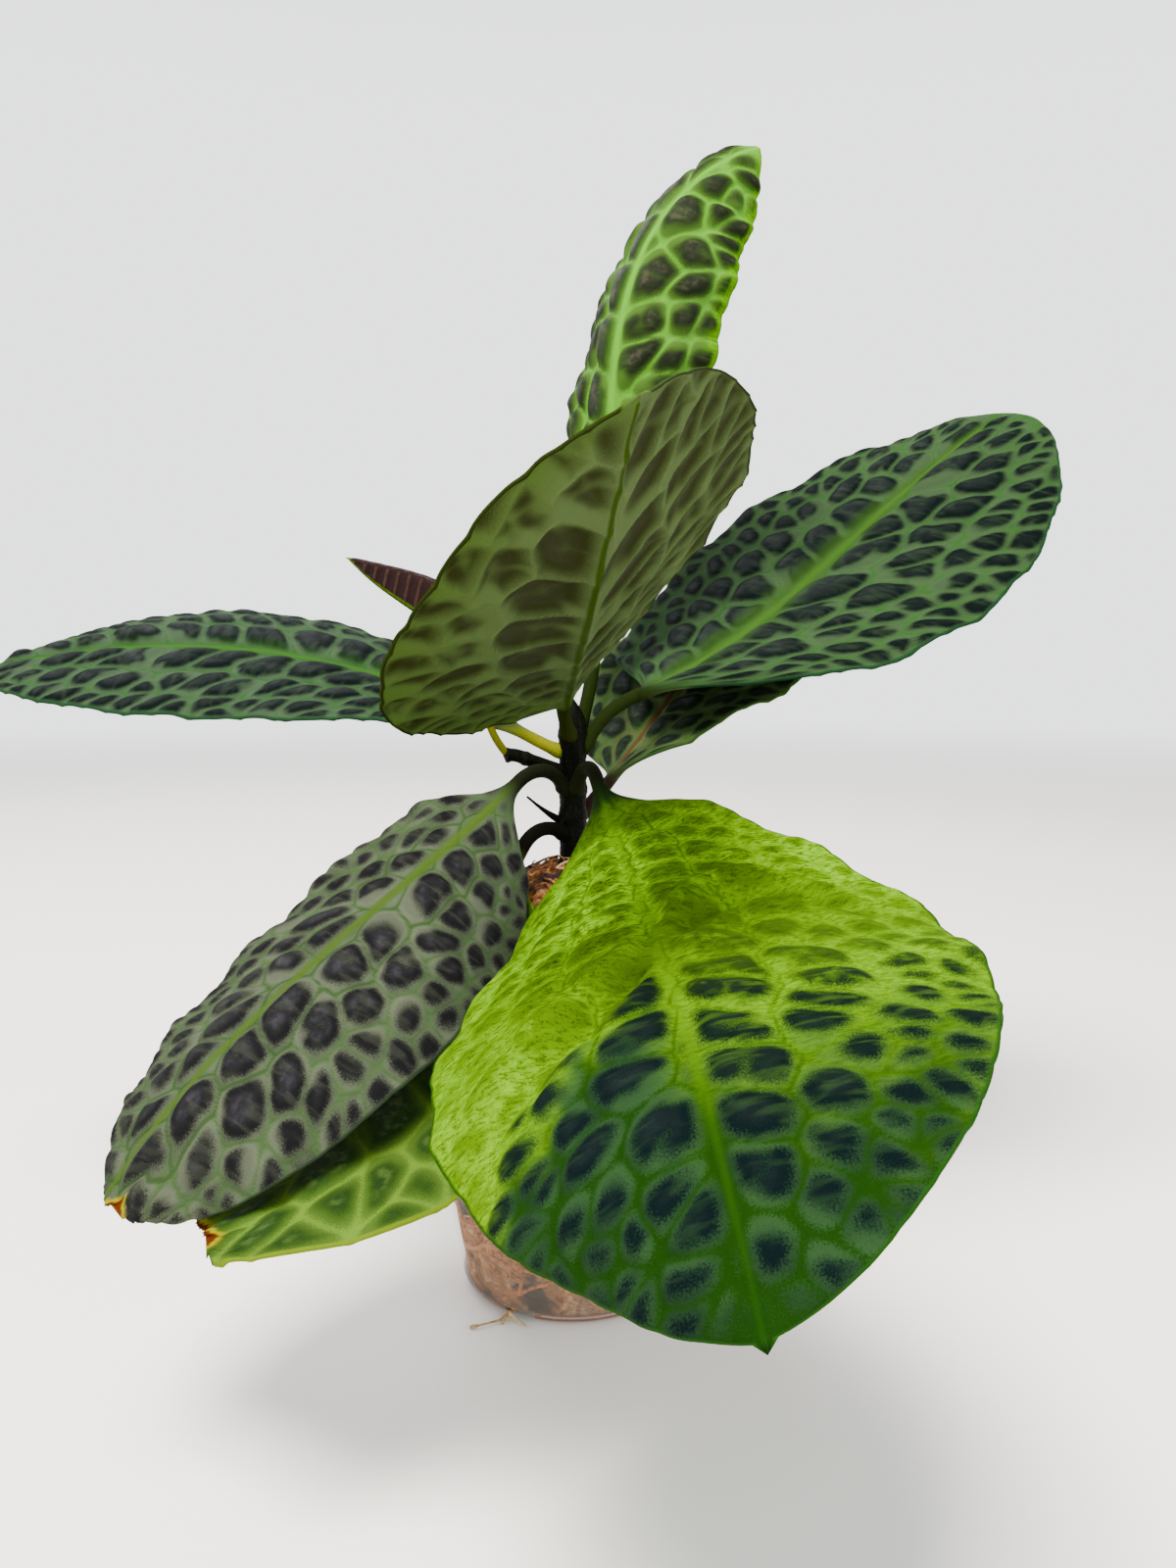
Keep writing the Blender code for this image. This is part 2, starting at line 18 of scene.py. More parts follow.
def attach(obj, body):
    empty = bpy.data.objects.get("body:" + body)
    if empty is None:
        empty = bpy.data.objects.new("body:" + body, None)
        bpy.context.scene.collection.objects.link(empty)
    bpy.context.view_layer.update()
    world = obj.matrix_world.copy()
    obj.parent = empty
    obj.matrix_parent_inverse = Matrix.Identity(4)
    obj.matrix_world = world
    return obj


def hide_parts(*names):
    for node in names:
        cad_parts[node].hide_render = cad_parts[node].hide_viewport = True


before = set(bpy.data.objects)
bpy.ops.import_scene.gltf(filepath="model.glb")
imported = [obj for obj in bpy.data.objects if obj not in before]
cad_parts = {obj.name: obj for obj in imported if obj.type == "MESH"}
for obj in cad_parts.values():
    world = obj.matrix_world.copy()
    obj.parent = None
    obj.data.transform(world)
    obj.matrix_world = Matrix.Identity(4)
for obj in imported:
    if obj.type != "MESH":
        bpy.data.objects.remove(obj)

LOG = logging.getLogger("potted_ardisia")
MM = 0.001
UP = np.array([0.0, 0.0, 1.0])
Tint = tuple[int, int, int]


def linear(tint: Tint) -> tuple[float, float, float, float]:
    """Turn an sRGB tint into linear light: ((c + 0.055) / 1.055) to the power 2.4, or c / 12.92 when dark.

    Args:
        tint: red, green and blue from 0 to 255.

    Returns:
        Linear red, green, blue and an alpha of 1.
    """
    share = np.array(tint) / 255.0
    light = np.where(share > 0.04045, ((share + 0.055) / 1.055) ** 2.4, share / 12.92)
    return (float(light[0]), float(light[1]), float(light[2]), 1.0)


def ease(value: np.ndarray, low: float, high: float) -> np.ndarray:
    """Smooth step from 0 at low to 1 at high: 3 t squared less 2 t cubed.

    Args:
        value: the numbers to ease.
        low: where the step starts; it may be above high, for a falling step.
        high: where the step ends.

    Returns:
        The eased numbers.
    """
    held = np.clip((value - low) / (high - low), 0.0, 1.0)
    return held * held * (3.0 - 2.0 * held)


def polar(radius: np.ndarray, heading: np.ndarray, height: np.ndarray) -> np.ndarray:
    """Points round the vertical axis: radius times the cosine and sine of the heading in degrees, and height.

    Args:
        radius: distance from the axis.
        heading: angle from +X in degrees.
        height: height above the floor.

    Returns:
        The points, with their three coordinates on the last axis.
    """
    turn = np.radians(heading)
    return np.stack(np.broadcast_arrays(radius * np.cos(turn), radius * np.sin(turn), height), -1)


def lattice_noise(spot: np.ndarray, seed: int) -> np.ndarray:
    """Value noise: random numbers on a lattice, eased between the eight corners around each point.

    Args:
        spot: points in lattice units, coordinates on the last axis.
        seed: picks the random numbers.

    Returns:
        Values between -1 and 1.
    """
    size = 64
    table = np.random.default_rng(seed).uniform(-1.0, 1.0, (size, size, size))
    floor = np.floor(spot).astype(int)
    part = ease(spot - floor, 0.0, 1.0)
    total = np.zeros(spot.shape[:-1])
    for corner in np.ndindex(2, 2, 2):
        place = (floor + np.array(corner)) % size
        weight = np.prod(np.where(np.array(corner) == 1, part, 1.0 - part), axis=-1)
        total += weight * table[place[..., 0], place[..., 1], place[..., 2]]
    return total


def sway(along: np.ndarray, across: np.ndarray, scale: float, layer: float,
         seeds: tuple[int, int]) -> np.ndarray:
    """Two value noises of a place on a leaf, to shift it along and across.

    Args:
        along: place along the blade in mm.
        across: place across it in mm.
        scale: size of the noise's lumps in mm.
        layer: the lattice's third coordinate.
        seeds: pick the random numbers of each noise.

    Returns:
        Shifts between -1 and 1, along and across on the last axis.
    """
    where = np.stack(np.broadcast_arrays(along / scale, across / scale, layer), -1)
    return np.stack([lattice_noise(where, seed) for seed in seeds], -1)


def ring_faces(rings: int, size: int) -> np.ndarray:
    """Quads between closed rings of equal size: each point, its neighbour, and the two on the next ring.

    Args:
        rings: number of rings.
        size: points in each ring.

    Returns:
        Point numbers of the quads, four in each row.
    """
    ring, place = np.meshgrid(np.arange(rings - 1), np.arange(size), indexing="ij")
    follow = (place + 1) % size
    near, far = ring * size, (ring + 1) * size
    return np.stack([near + place, near + follow, far + follow, far + place], -1).reshape(-1, 4)


def fan_faces(first: int, size: int, pole: int) -> np.ndarray:
    """Triangles from a ring to one point: each point of the ring, its neighbour, and the pole.

    Args:
        first: number of the ring's first point.
        size: points in the ring.
        pole: number of the pole's point.

    Returns:
        Point numbers of the triangles, three in each row.
    """
    place = np.arange(size)
    return np.stack([first + place, first + (place + 1) % size, np.full(size, pole)], -1)


@dataclass
class Shell:
    """A closed surface: points in millimetres, faces, and one number a point for each named channel."""

    points: np.ndarray
    faces: list[list[int]]
    channels: dict[str, np.ndarray]

    def plus(self, others: list["Shell"]) -> "Shell":
        """Put several shells into one.

        Args:
            others: the shells to add, with the same channels.

        Returns:
            One shell that holds them all.
        """
        shells = [self, *others]
        shift = np.cumsum([0] + [len(shell.points) for shell in shells[:-1]])
        faces = [[corner + int(step) for corner in face]
                 for shell, step in zip(shells, shift) for face in shell.faces]
        channels = {name: np.concatenate([shell.channels[name] for shell in shells])
                    for name in self.channels}
        return Shell(np.concatenate([shell.points for shell in shells]), faces, channels)

    def mesh(self, name: str, surface: np.ndarray | None = None) -> bpy.types.Mesh:
        """Make the mesh, in metres, with its faces outward, its channels and, if given, its surface map.

        Args:
            name: the mesh's name.
            surface: two coordinates in millimetres for each point, kept as the UV map "surface".

        Returns:
            The mesh.
        """
        mesh = bpy.data.meshes.new(name)
        mesh.from_pydata((self.points * MM).tolist(), [], self.faces)
        for channel, values in self.channels.items():
            layer = mesh.attributes.new(channel, "FLOAT", "POINT")
            layer.data.foreach_set("value", values.astype(np.float32))
        if surface is not None:
            corners = np.empty(len(mesh.loops), dtype=np.int32)
            mesh.loops.foreach_get("vertex_index", corners)
            layer = mesh.uv_layers.new(name="surface")
            layer.data.foreach_set("uv", surface[corners].astype(np.float32).ravel())
        work = bmesh.new()
        work.from_mesh(mesh)
        bmesh.ops.recalc_face_normals(work, faces=work.faces)
        work.to_mesh(mesh)
        work.free()
        mesh.shade_smooth()
        return mesh


def lofted(rings: np.ndarray, poles: tuple[np.ndarray, np.ndarray], channels: dict[str, np.ndarray]) -> Shell:
    """Skin closed rings and close both ends with a pole.

    Args:
        rings: points, as rings by places by three coordinates.
        poles: the points that close the first and the last ring.
        channels: for each name, rings by places numbers; a pole takes its ring's mean.

    Returns:
        The closed shell.
    """
    count, size, _ = rings.shape
    points = np.concatenate([rings.reshape(-1, 3), [poles[0], poles[1]]])
    faces = ring_faces(count, size).tolist()
    faces += fan_faces(0, size, count * size)[:, ::-1].tolist()
    faces += fan_faces((count - 1) * size, size, count * size + 1).tolist()
    kept = {}
    for name, values in channels.items():
        values = np.broadcast_to(values, (count, size))
        kept[name] = np.concatenate([values.ravel(), [values[0].mean(), values[-1].mean()]])
    return Shell(points, faces, kept)


def tube(path: np.ndarray, radii: np.ndarray, sides: int, up: np.ndarray, tone: float = 0.5) -> Shell:
    """Carry a circle along a path: centre + radius (cos a side + sin a lift), side = up x tangent.

    Args:
        path: points of the middle line.
        radii: radius at each point.
        sides: points round the tube.
        up: a direction, or one for each point, never along the path.
        tone: number kept in the channel "tone".

    Returns:
        The closed tube.
    """
    tangent = np.gradient(path, axis=0)
    tangent /= np.linalg.norm(tangent, axis=1, keepdims=True)
    side = np.cross(np.broadcast_to(up, path.shape), tangent)
    side /= np.linalg.norm(side, axis=1, keepdims=True)
    lift = np.cross(tangent, side)
    turn = np.linspace(0.0, 2.0 * math.pi, sides, endpoint=False)
    circle = np.cos(turn)[:, None] * side[:, None] + np.sin(turn)[:, None] * lift[:, None]
    rings = path[:, None] + np.asarray(radii)[:, None, None] * circle
    poles = (path[0] - tangent[0] * radii[0] * 0.5, path[-1] + tangent[-1] * radii[-1] * 0.5)
    return lofted(rings, poles, {"tone": np.full((len(path), sides), tone)})


def smooth_path(points: np.ndarray, count: int) -> np.ndarray:
    """Run a Catmull-Rom curve through points, with an even number of places between them.

    Args:
        points: the points to pass through.
        count: number of points wanted.

    Returns:
        The points of the curve.
    """
    spots = np.asarray(points, dtype=float)
    held = np.concatenate([[2 * spots[0] - spots[1]], spots, [2 * spots[-1] - spots[-2]]])
    place = np.linspace(0.0, len(spots) - 1.0, count)
    start = np.minimum(place.astype(int), len(spots) - 2)
    part = (place - start)[:, None]
    a, b, c, d = (held[start + step] for step in range(4))
    return 0.5 * (2 * b + (c - a) * part + (2 * a - 5 * b + 4 * c - d) * part ** 2
                  + (3 * b - a - 3 * c + d) * part ** 3)


def put(name: str, data: bpy.types.ID) -> bpy.types.Object:
    """Make an object of a mesh, a light or a camera, and link it to the scene.

    Args:
        name: the object's name.
        data: what it shows.

    Returns:
        The object.
    """
    made = bpy.data.objects.new(name, data)
    bpy.context.scene.collection.objects.link(made)
    return made


def combined(name: str, meshes: list[bpy.types.Mesh], operation: str) -> bpy.types.Mesh:
    """Cut meshes from the first one, or join them to it, with exact Boolean modifiers.

    Args:
        name: the new mesh's name.
        meshes: the mesh to start from, and those to cut off or join on.
        operation: DIFFERENCE or UNION.

    Returns:
        The new mesh, shaded smooth.
    """
    held = [put(mesh.name, mesh) for mesh in meshes]
    for tool in held[1:]:
        modifier = held[0].modifiers.new(operation.lower(), "BOOLEAN")
        modifier.operation = operation
        modifier.solver = "EXACT"
        modifier.object = tool
    bpy.context.view_layer.update()
    made = bpy.data.meshes.new_from_object(held[0].evaluated_get(bpy.context.evaluated_depsgraph_get()))
    for spent in held:
        bpy.data.objects.remove(spent, do_unlink=True)
    made.name = name
    made.materials.clear()
    made.shade_smooth()
    return made


def finish_piece(name: str, mesh: bpy.types.Mesh, material: bpy.types.Material,
                 nodes: tuple[str, ...] = ()) -> bpy.types.Object:
    """Link a piece, give it its material, hang it on the root body and hide the CAD nodes that it replaces.

    Args:
        name: the piece's name.
        mesh: its mesh.
        material: its material.
        nodes: the CAD nodes that it replaces.

    Returns:
        The piece.
    """
    piece = put(name, mesh)
    mesh.materials.append(material)
    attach(piece, "root")
    if nodes:
        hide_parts(*nodes)
    LOG.info("%s: %d points, %d faces", name, len(mesh.vertices), len(mesh.polygons))
    return piece


class Paint:
    """A material's node tree, with short calls for the nodes that the finishes are made of."""

    def __init__(self, name: str) -> None:
        """Start a Principled material.

        Args:
            name: the material's name.
        """
        self.material = bpy.data.materials.new(name)
        self.material.use_nodes = True
        self.tree = self.material.node_tree
        self.shader = self.tree.nodes["Principled BSDF"]

    def node(self, kind: str, **settings: object) -> bpy.types.Node:
        """Add a node and set its properties.

        Args:
            kind: the node's type name.
            settings: property values by name.

        Returns:
            The node.
        """
        made = self.tree.nodes.new(kind)
        for name, value in settings.items():
            setattr(made, name, value)
        return made

    def feed(self, socket: bpy.types.NodeSocket, value: object) -> None:
        """Link a socket to an input, or set the input's own value.

        Args:
            socket: the input.
            value: an output socket, a number or a colour.
        """
        if isinstance(value, bpy.types.NodeSocket):
            self.tree.links.new(value, socket)
        else:
            socket.default_value = value

    def channel(self, name: str) -> bpy.types.NodeSocket:
        """Read a number that the mesh carries at each point."""
        return self.node("ShaderNodeAttribute", attribute_name=name, attribute_type="GEOMETRY").outputs["Fac"]

    def place(self) -> bpy.types.NodeSocket:
        """Read the object's own coordinates, in metres."""
        return self.node("ShaderNodeTexCoord").outputs["Object"]

    def surface(self) -> bpy.types.NodeSocket:
        """Read the surface map, in millimetres along and across the leaf."""
        return self.node("ShaderNodeUVMap", uv_map="surface").outputs["UV"]

    def noise(self, scale: float, detail: float = 2.0, where: bpy.types.NodeSocket | None = None,
              roughness: float = 0.5, distortion: float = 0.0) -> bpy.types.NodeSocket:
        """Cloudy noise between 0 and 1.

        Args:
            scale: lumps in one unit of the coordinates.
            detail: how many finer layers are added.
            where: coordinates; the object's own if none are given.
            roughness: strength of the finer layers.
            distortion: how far the lumps are pulled about.

        Returns:
            The noise's number.
        """
        made = self.node("ShaderNodeTexNoise")
        self.feed(made.inputs["Vector"], where or self.place())
        made.inputs["Scale"].default_value = scale
        made.inputs["Detail"].default_value = detail
        made.inputs["Roughness"].default_value = roughness
        made.inputs["Distortion"].default_value = distortion
        return made.outputs[0]

    def stretched(self, where: bpy.types.NodeSocket,
                  scale: tuple[float, float, float]) -> bpy.types.NodeSocket:
        """Scale coordinates, each axis by its own factor.

        Args:
            where: the coordinates.
            scale: three factors.

        Returns:
            The scaled coordinates.
        """
        made = self.node("ShaderNodeMapping")
        self.feed(made.inputs["Vector"], where)
        made.inputs["Scale"].default_value = scale
        return made.outputs[0]

    def step(self, value: object, low: float, high: float) -> bpy.types.NodeSocket:
        """Ease a number from 0 at low to 1 at high.

        Args:
            value: a socket or a number.
            low: where the step starts; it may be above high, for a falling step.
            high: where the step ends.

        Returns:
            The eased number.
        """
        made = self.node("ShaderNodeMapRange", interpolation_type="SMOOTHSTEP")
        self.feed(made.inputs[0], value)
        falling = low > high
        made.inputs[1].default_value = min(low, high)
        made.inputs[2].default_value = max(low, high)
        made.inputs[3].default_value = 1.0 if falling else 0.0
        made.inputs[4].default_value = 0.0 if falling else 1.0
        return made.outputs[0]

    def maths(self, operation: str, *values: object) -> bpy.types.NodeSocket:
        """One step of arithmetic.

        Args:
            operation: the Math node's name for it, such as ADD.
            values: a socket or a number for each of its inputs.

        Returns:
            The result.
        """
        made = self.node("ShaderNodeMath", operation=operation)
        for socket, value in zip(made.inputs, values):
            self.feed(socket, value)
        return made.outputs[0]

    def plus(self, first: object, second: object) -> bpy.types.NodeSocket:
        """Add two numbers."""
        return self.maths("ADD", first, second)

    def less(self, first: object, second: object) -> bpy.types.NodeSocket:
        """Take the second number from the first."""
        return self.maths("SUBTRACT", first, second)

    def times(self, first: object, second: object) -> bpy.types.NodeSocket:
        """Multiply two numbers."""
        return self.maths("MULTIPLY", first, second)

    def least(self, first: object, second: object) -> bpy.types.NodeSocket:
        """Take the smaller of two numbers."""
        return self.maths("MINIMUM", first, second)

    def most(self, first: object, second: object) -> bpy.types.NodeSocket:
        """Take the larger of two numbers."""
        return self.maths("MAXIMUM", first, second)

    def lifted(self, value: object, low: float) -> bpy.types.NodeSocket:
        """Squeeze a number between 0 and 1 into the range from low up to 1."""
        return self.maths("MULTIPLY_ADD", value, 1.0 - low, low)

    def blend(self, share: object, first: object, second: object) -> bpy.types.NodeSocket:
        """Blend two colours.

        Args:
            share: how much of the second, a socket or a number.
            first: a socket or a linear colour.
            second: a socket or a linear colour.

        Returns:
            The blended colour.
        """
        made = self.node("ShaderNodeMix", data_type="RGBA")
        self.feed(made.inputs[0], share)
        self.feed(made.inputs[6], first)
        self.feed(made.inputs[7], second)
        return made.outputs[2]

    def emboss(self, height: bpy.types.NodeSocket, distance: float, strength: float = 1.0) -> None:
        """Bend the shading by a height.

        Args:
            height: the height, from 0 to 1.
            distance: what a height of 1 stands for, in metres.
            strength: share of the effect.
        """
        made = self.node("ShaderNodeBump")
        made.inputs["Strength"].default_value = strength
        made.inputs["Distance"].default_value = distance
        self.feed(made.inputs["Height"], height)
        self.feed(self.shader.inputs["Normal"], made.outputs[0])

    def finish(self, colour: object, roughness: object, **sockets: object) -> bpy.types.Material:
        """Set the shader's colour, roughness and other sockets.

        Args:
            colour: a socket or a linear colour.
            roughness: a socket or a number.
            sockets: values by socket name, with _ for a space.

        Returns:
            The material.
        """
        self.feed(self.shader.inputs["Base Color"], colour)
        self.feed(self.shader.inputs["Roughness"], roughness)
        for name, value in sockets.items():
            self.feed(self.shader.inputs[name.replace("_", " ")], value)
        return self.material


def pigment(tint: Tint, level: float = 0.27) -> tuple[float, float, float, float]:
    """Base colour that shows as a tint under the studio's strong light.

    Each channel of the linear tint is spread by a quarter from their mean, then scaled by the level.

    Args:
        tint: the tint as it is seen.
        level: what the light leaves for the base colour.

    Returns:
        The linear base colour.
    """
    light = np.array(linear(tint)[:3])
    spread = np.maximum(light.mean() + 1.25 * (light - light.mean()), 0.0005) * level
    return (float(spread[0]), float(spread[1]), float(spread[2]), 1.0)


@dataclass(frozen=True)
class LeafFinish:
    """Tints of a leaf as seen: a pale net of veins round dark quilted cells, a midrib and a painted lit zone.
    """

    net: Tint
    cell: Tint
    halo: Tint  # pale ground between the net's vein and a cell's dark blotches
    line: Tint  # thin vein along the middle of the net
    rib: Tint
    margin: Tint
    stalk: Tint
    # painted light: tint of the lit zone, where sun falls on the blade and shines through it
    zone: Tint
    crown: Tint = (74, 70, 78)  # painted highlight: soft grey sheen on top of a blotch
    back_net: Tint = (122, 142, 98)
    back_cell: Tint = (84, 98, 62)
    back_rib: Tint = (140, 160, 90)
    level: float = 0.36  # what the studio's light leaves for the base colour
    net_half: float = 0.85  # half width of the net in mm
    crack_shows: float = 0.75  # how far the ground shows between the blotches of one cell
    zone_hides: float = 0.3  # how far the zone hides the cells
    zone_cell: float = 0.42  # how light a cell is in the zone, as a share of the zone's tint
    speckle: float = 1.1  # how far the stipple shifts a blotch's edge, in mm
    fuzz: float = 1.0  # how soft a blotch's edge is
    depth: float = 0.97  # how dark a cell gets
    gloss: float = 0.46  # roughness of the upper face
    shine: float = 0.05  # strength of the upper face's gloss
    vein_shows: float = 0.55  # how far the thin veins show
    rib_shows: float = 0.92  # how far the midrib's tint covers
    rib_glow: float = 0.0  # how far the midrib's tint spreads over the cells beside it
    rib_soft: float = 1.0  # how soft the midrib's sides are
    ripple: float = 0.12  # how far pale ripples show across the blotches

    def material(self, name: str) -> bpy.types.Material:
        """Build the leaf's material."""
        return LeafPaint(name, self).dressed()

    def shown_as(self, tint: Tint, share: float = 1.0) -> tuple[float, float, float, float]:
        """Base colour for a tint of this leaf, at a share of its level."""
        return pigment(tint, self.level * share)


class LeafPaint(Paint):
    """A leaf's node tree, painted with its finish from the numbers that the mesh carries at each point.

    A point is in a dark blotch where its distances to the net and to the next blotch, both shifted by a fine
    stipple, pass the net's half width. The ground round it runs from the net's tint to the halo's.
    """

    STIPPLE = 2.6  # lumps of the fine stipple in 1 mm
    CLOUD = 0.13  # lumps of the broad cloud in 1 mm
    SHEEN = 0.42  # lumps of the painted highlight on the blotches in 1 mm
    DRIFT = 1.6  # how far the cloud shifts a blotch's edge, in mm
    GRAIN = 0.0003  # height of the skin's grain in metres
    SCAR: Tint = (206, 200, 150)
    SCORCH: Tint = (176, 170, 60)
    BURNT: Tint = (112, 58, 28)

    def __init__(self, name: str, look: LeafFinish) -> None:
        """Read the mesh's channels and work out the fields that both faces share.

        Args:
            name: the material's name.
            look: the leaf's finish.
        """
        super().__init__(name)
        self.look = look
        self.flat = self.surface()
        self.stipple = self.noise(self.STIPPLE, 3.0, self.flat, roughness=0.7)
        self.cloud = self.noise(self.CLOUD, 3.0, self.flat)
        streak = self.stretched(self.flat, (1.5, 0.5, 1.0))
        self.streak = self.noise(1.0, 4.0, streak, roughness=0.6, distortion=0.6)
        self.cell, self.crack, self.zone = (self.channel(field) for field in ("cell", "crack", "zone"))
        self.shift = self.times(self.less(self.stipple, 0.5), look.speckle * 2.0)
        drift = self.times(self.less(self.cloud, 0.5), self.DRIFT)
        self.distance = self.plus(self.cell, self.plus(self.shift, drift))
        inner = self.step(self.plus(self.crack, self.shift), -0.9 * look.fuzz, 1.0 * look.fuzz)
        self.shown = self.times(self.less(1.0, inner), look.crack_shows)
        self.patch = self.lifted(self.channel("tone"), 0.35)
        self.top = self.step(self.least(self.distance, self.plus(self.crack, 1.8)), 2.4, 4.6)
        self.vein = self.step(self.channel("vein"), 0.35, 0.95)
        self.edge = self.channel("edge")
        self.beside = self.channel("rib")
        soft = self.step(self.plus(self.beside, self.times(self.shift, 0.2)),
                         1.0 + 0.45 * look.rib_soft, 1.0 - 0.4 * look.rib_soft)
        self.rib = self.times(soft, 0.92)

    def darkness(self) -> bpy.types.NodeSocket:
        """How dark a point is: blotch, less the ground, what the zone and its mottle hide, and ripples.

        Returns:
            A number from 0 to 1.
        """
        look = self.look
        blotch = self.step(self.distance, look.net_half - 0.55 * look.fuzz, look.net_half + 0.95 * look.fuzz)
        kept = self.less(1.0, self.times(self.step(self.zone, 0.5, 0.95), look.zone_hides))
        mottle = self.step(self.plus(self.cloud, self.times(self.patch, 0.25)), 0.76, 0.90)
        mottle = self.times(mottle, self.step(self.zone, 0.3, 0.95))
        kept = self.times(kept, self.less(1.0, mottle))
        dark = self.times(self.times(blotch, self.less(1.0, self.shown)), kept)
        ripple = self.noise(1.0, 1.0, self.stretched(self.flat, (0.40, 0.11, 1.0)), distortion=0.8)
        ripple = self.times(self.step(ripple, 0.46, 0.70), look.ripple)
        return self.times(dark, self.less(look.depth, ripple))

    def ground(self) -> bpy.types.NodeSocket:
        """Colour round the blotches: from net to halo, streaked with the zone's tint where the zone is.

        Returns:
            The ground's colour.
        """
        look, shown_as = self.look, self.look.shown_as
        halo = self.step(self.plus(self.cell, self.shift), 0.1, 1.3)
        streaky = self.step(self.streak, 0.34, 0.66)
        # painted light: the lit zone's tint, streaked, and far brighter where the zone passes 1, for a pool
        # of sun
        lively = self.blend(streaky, shown_as(look.zone, 0.60), shown_as(look.zone, 0.94))
        brightest = self.blend(streaky, shown_as(look.zone, 2.2), shown_as(look.zone, 3.8))
        lively = self.blend(self.step(self.zone, 1.0, 1.5), lively, brightest)
        ground = self.blend(halo, shown_as(look.net), shown_as(look.halo))
        return self.blend(self.step(self.zone, 0.0, 0.66), ground, lively)

    def upper_face(self) -> bpy.types.NodeSocket:
        """Colour of the upper face: ground, blotches with their painted highlight, flecks, veins, midrib and
        margin.

        Returns:
            The face's colour.
        """
        look, shown_as = self.look, self.look.shown_as
        # painted highlight: the crown's tint laid on the tops of the domes, in patches of noise
        sheen = self.step(self.noise(self.SHEEN, 2.0, self.flat), 0.42, 0.66)
        painted_highlight = self.times(self.top, self.times(sheen, 0.9))
        blotch = self.blend(painted_highlight, shown_as(look.cell), shown_as(look.crown))
        lit = self.step(self.zone, 0.52, 0.92)
        blotch = self.blend(lit, blotch, shown_as(look.zone, look.zone_cell))
        colour = self.blend(self.darkness(), self.ground(), blotch)
        fleck = self.times(self.zone, self.step(self.times(self.stipple, self.streak), 0.24, 0.18))
        colour = self.blend(self.times(fleck, 0.5), colour, shown_as(look.cell))
        line = self.blend(self.zone, shown_as(look.line), shown_as(look.rib))
        colour = self.blend(self.times(self.vein, look.vein_shows), colour, line)
        near = self.times(self.step(self.beside, 7.0, 0.9), look.rib_glow)
        colour = self.blend(near, colour, shown_as(look.rib, 0.7))
        rim = self.times(self.step(self.edge, 1.0, 0.3), 0.85)
        colour = self.blend(rim, colour, shown_as(look.margin))
        rib = self.blend(self.times(self.zone, 0.9), shown_as(look.rib), shown_as(look.zone, 1.05))
        return self.blend(self.times(self.rib, look.rib_shows), colour, rib)

    def under_face(self) -> bpy.types.NodeSocket:
        """Colour of the under face: the same net, paler, with soft blotches and a plain midrib.

        Returns:
            The face's colour.
        """
        look, shown_as = self.look, self.look.shown_as
        deep = self.least(self.less(self.distance, 0.5), self.crack)
        faint = self.step(self.plus(self.cloud, self.patch), 0.30, 0.60)
        soft = self.times(self.step(deep, -1.6, 3.0), self.lifted(faint, 0.55))
        soft = self.times(soft, self.less(1.0, self.times(self.shown, 0.5)))
        colour = self.blend(soft, shown_as(look.back_net), shown_as(look.back_cell))
        # painted light: the lit zone's glow through the blade, fainter over the blotches
        glow = self.times(self.zone, self.less(0.80, self.times(soft, 0.8)))
        colour = self.blend(glow, colour, shown_as(look.zone))
        colour = self.blend(self.times(self.vein, 0.4), colour, shown_as(look.back_net, 1.25))
        colour = self.blend(self.step(self.edge, 0.9, 0.2), colour, shown_as(look.margin))
        return self.blend(self.rib, colour, shown_as(look.back_rib))

    def dressed(self) -> bpy.types.Material:
        """Lay both faces, then the stalk, the scars and the scorch, and set the grain and the gloss.

        Returns:
            The material.
        """
        look, shown_as = self.look, self.look.shown_as
        on_top = self.step(self.channel("upper"), 0.3, 0.7)
        colour = self.blend(on_top, self.under_face(), self.upper_face())
        colour = self.blend(self.channel("stalk"), colour, shown_as(look.stalk))
        colour = self.blend(self.step(self.channel("mark"), 0.3, 0.8), colour, shown_as(self.SCAR))
        burn = self.plus(self.channel("burn"), self.times(self.shift, 0.12))
        colour = self.blend(self.step(burn, 0.22, 0.45), colour, shown_as(self.SCORCH))
        colour = self.blend(self.step(burn, 0.50, 0.75), colour, shown_as(self.BURNT))
        self.emboss(self.plus(self.stipple, self.times(self.cloud, 2.0)), self.GRAIN, 0.9)
        shine = self.times(self.less(1.0, self.zone), self.lifted(self.top, 0.25))
        return self.finish(colour, self.lifted(self.stipple, look.gloss - 0.1),
                           Specular_IOR_Level=self.times(shine, look.shine))


class Lit(Enum):
    """Where a leaf shows its painted lit zone: colour that stands in for sun on the blade and light through
    it.
    """

    NOWHERE = 0
    BASE_HALF = 1
    RIGHT_EDGE = 2


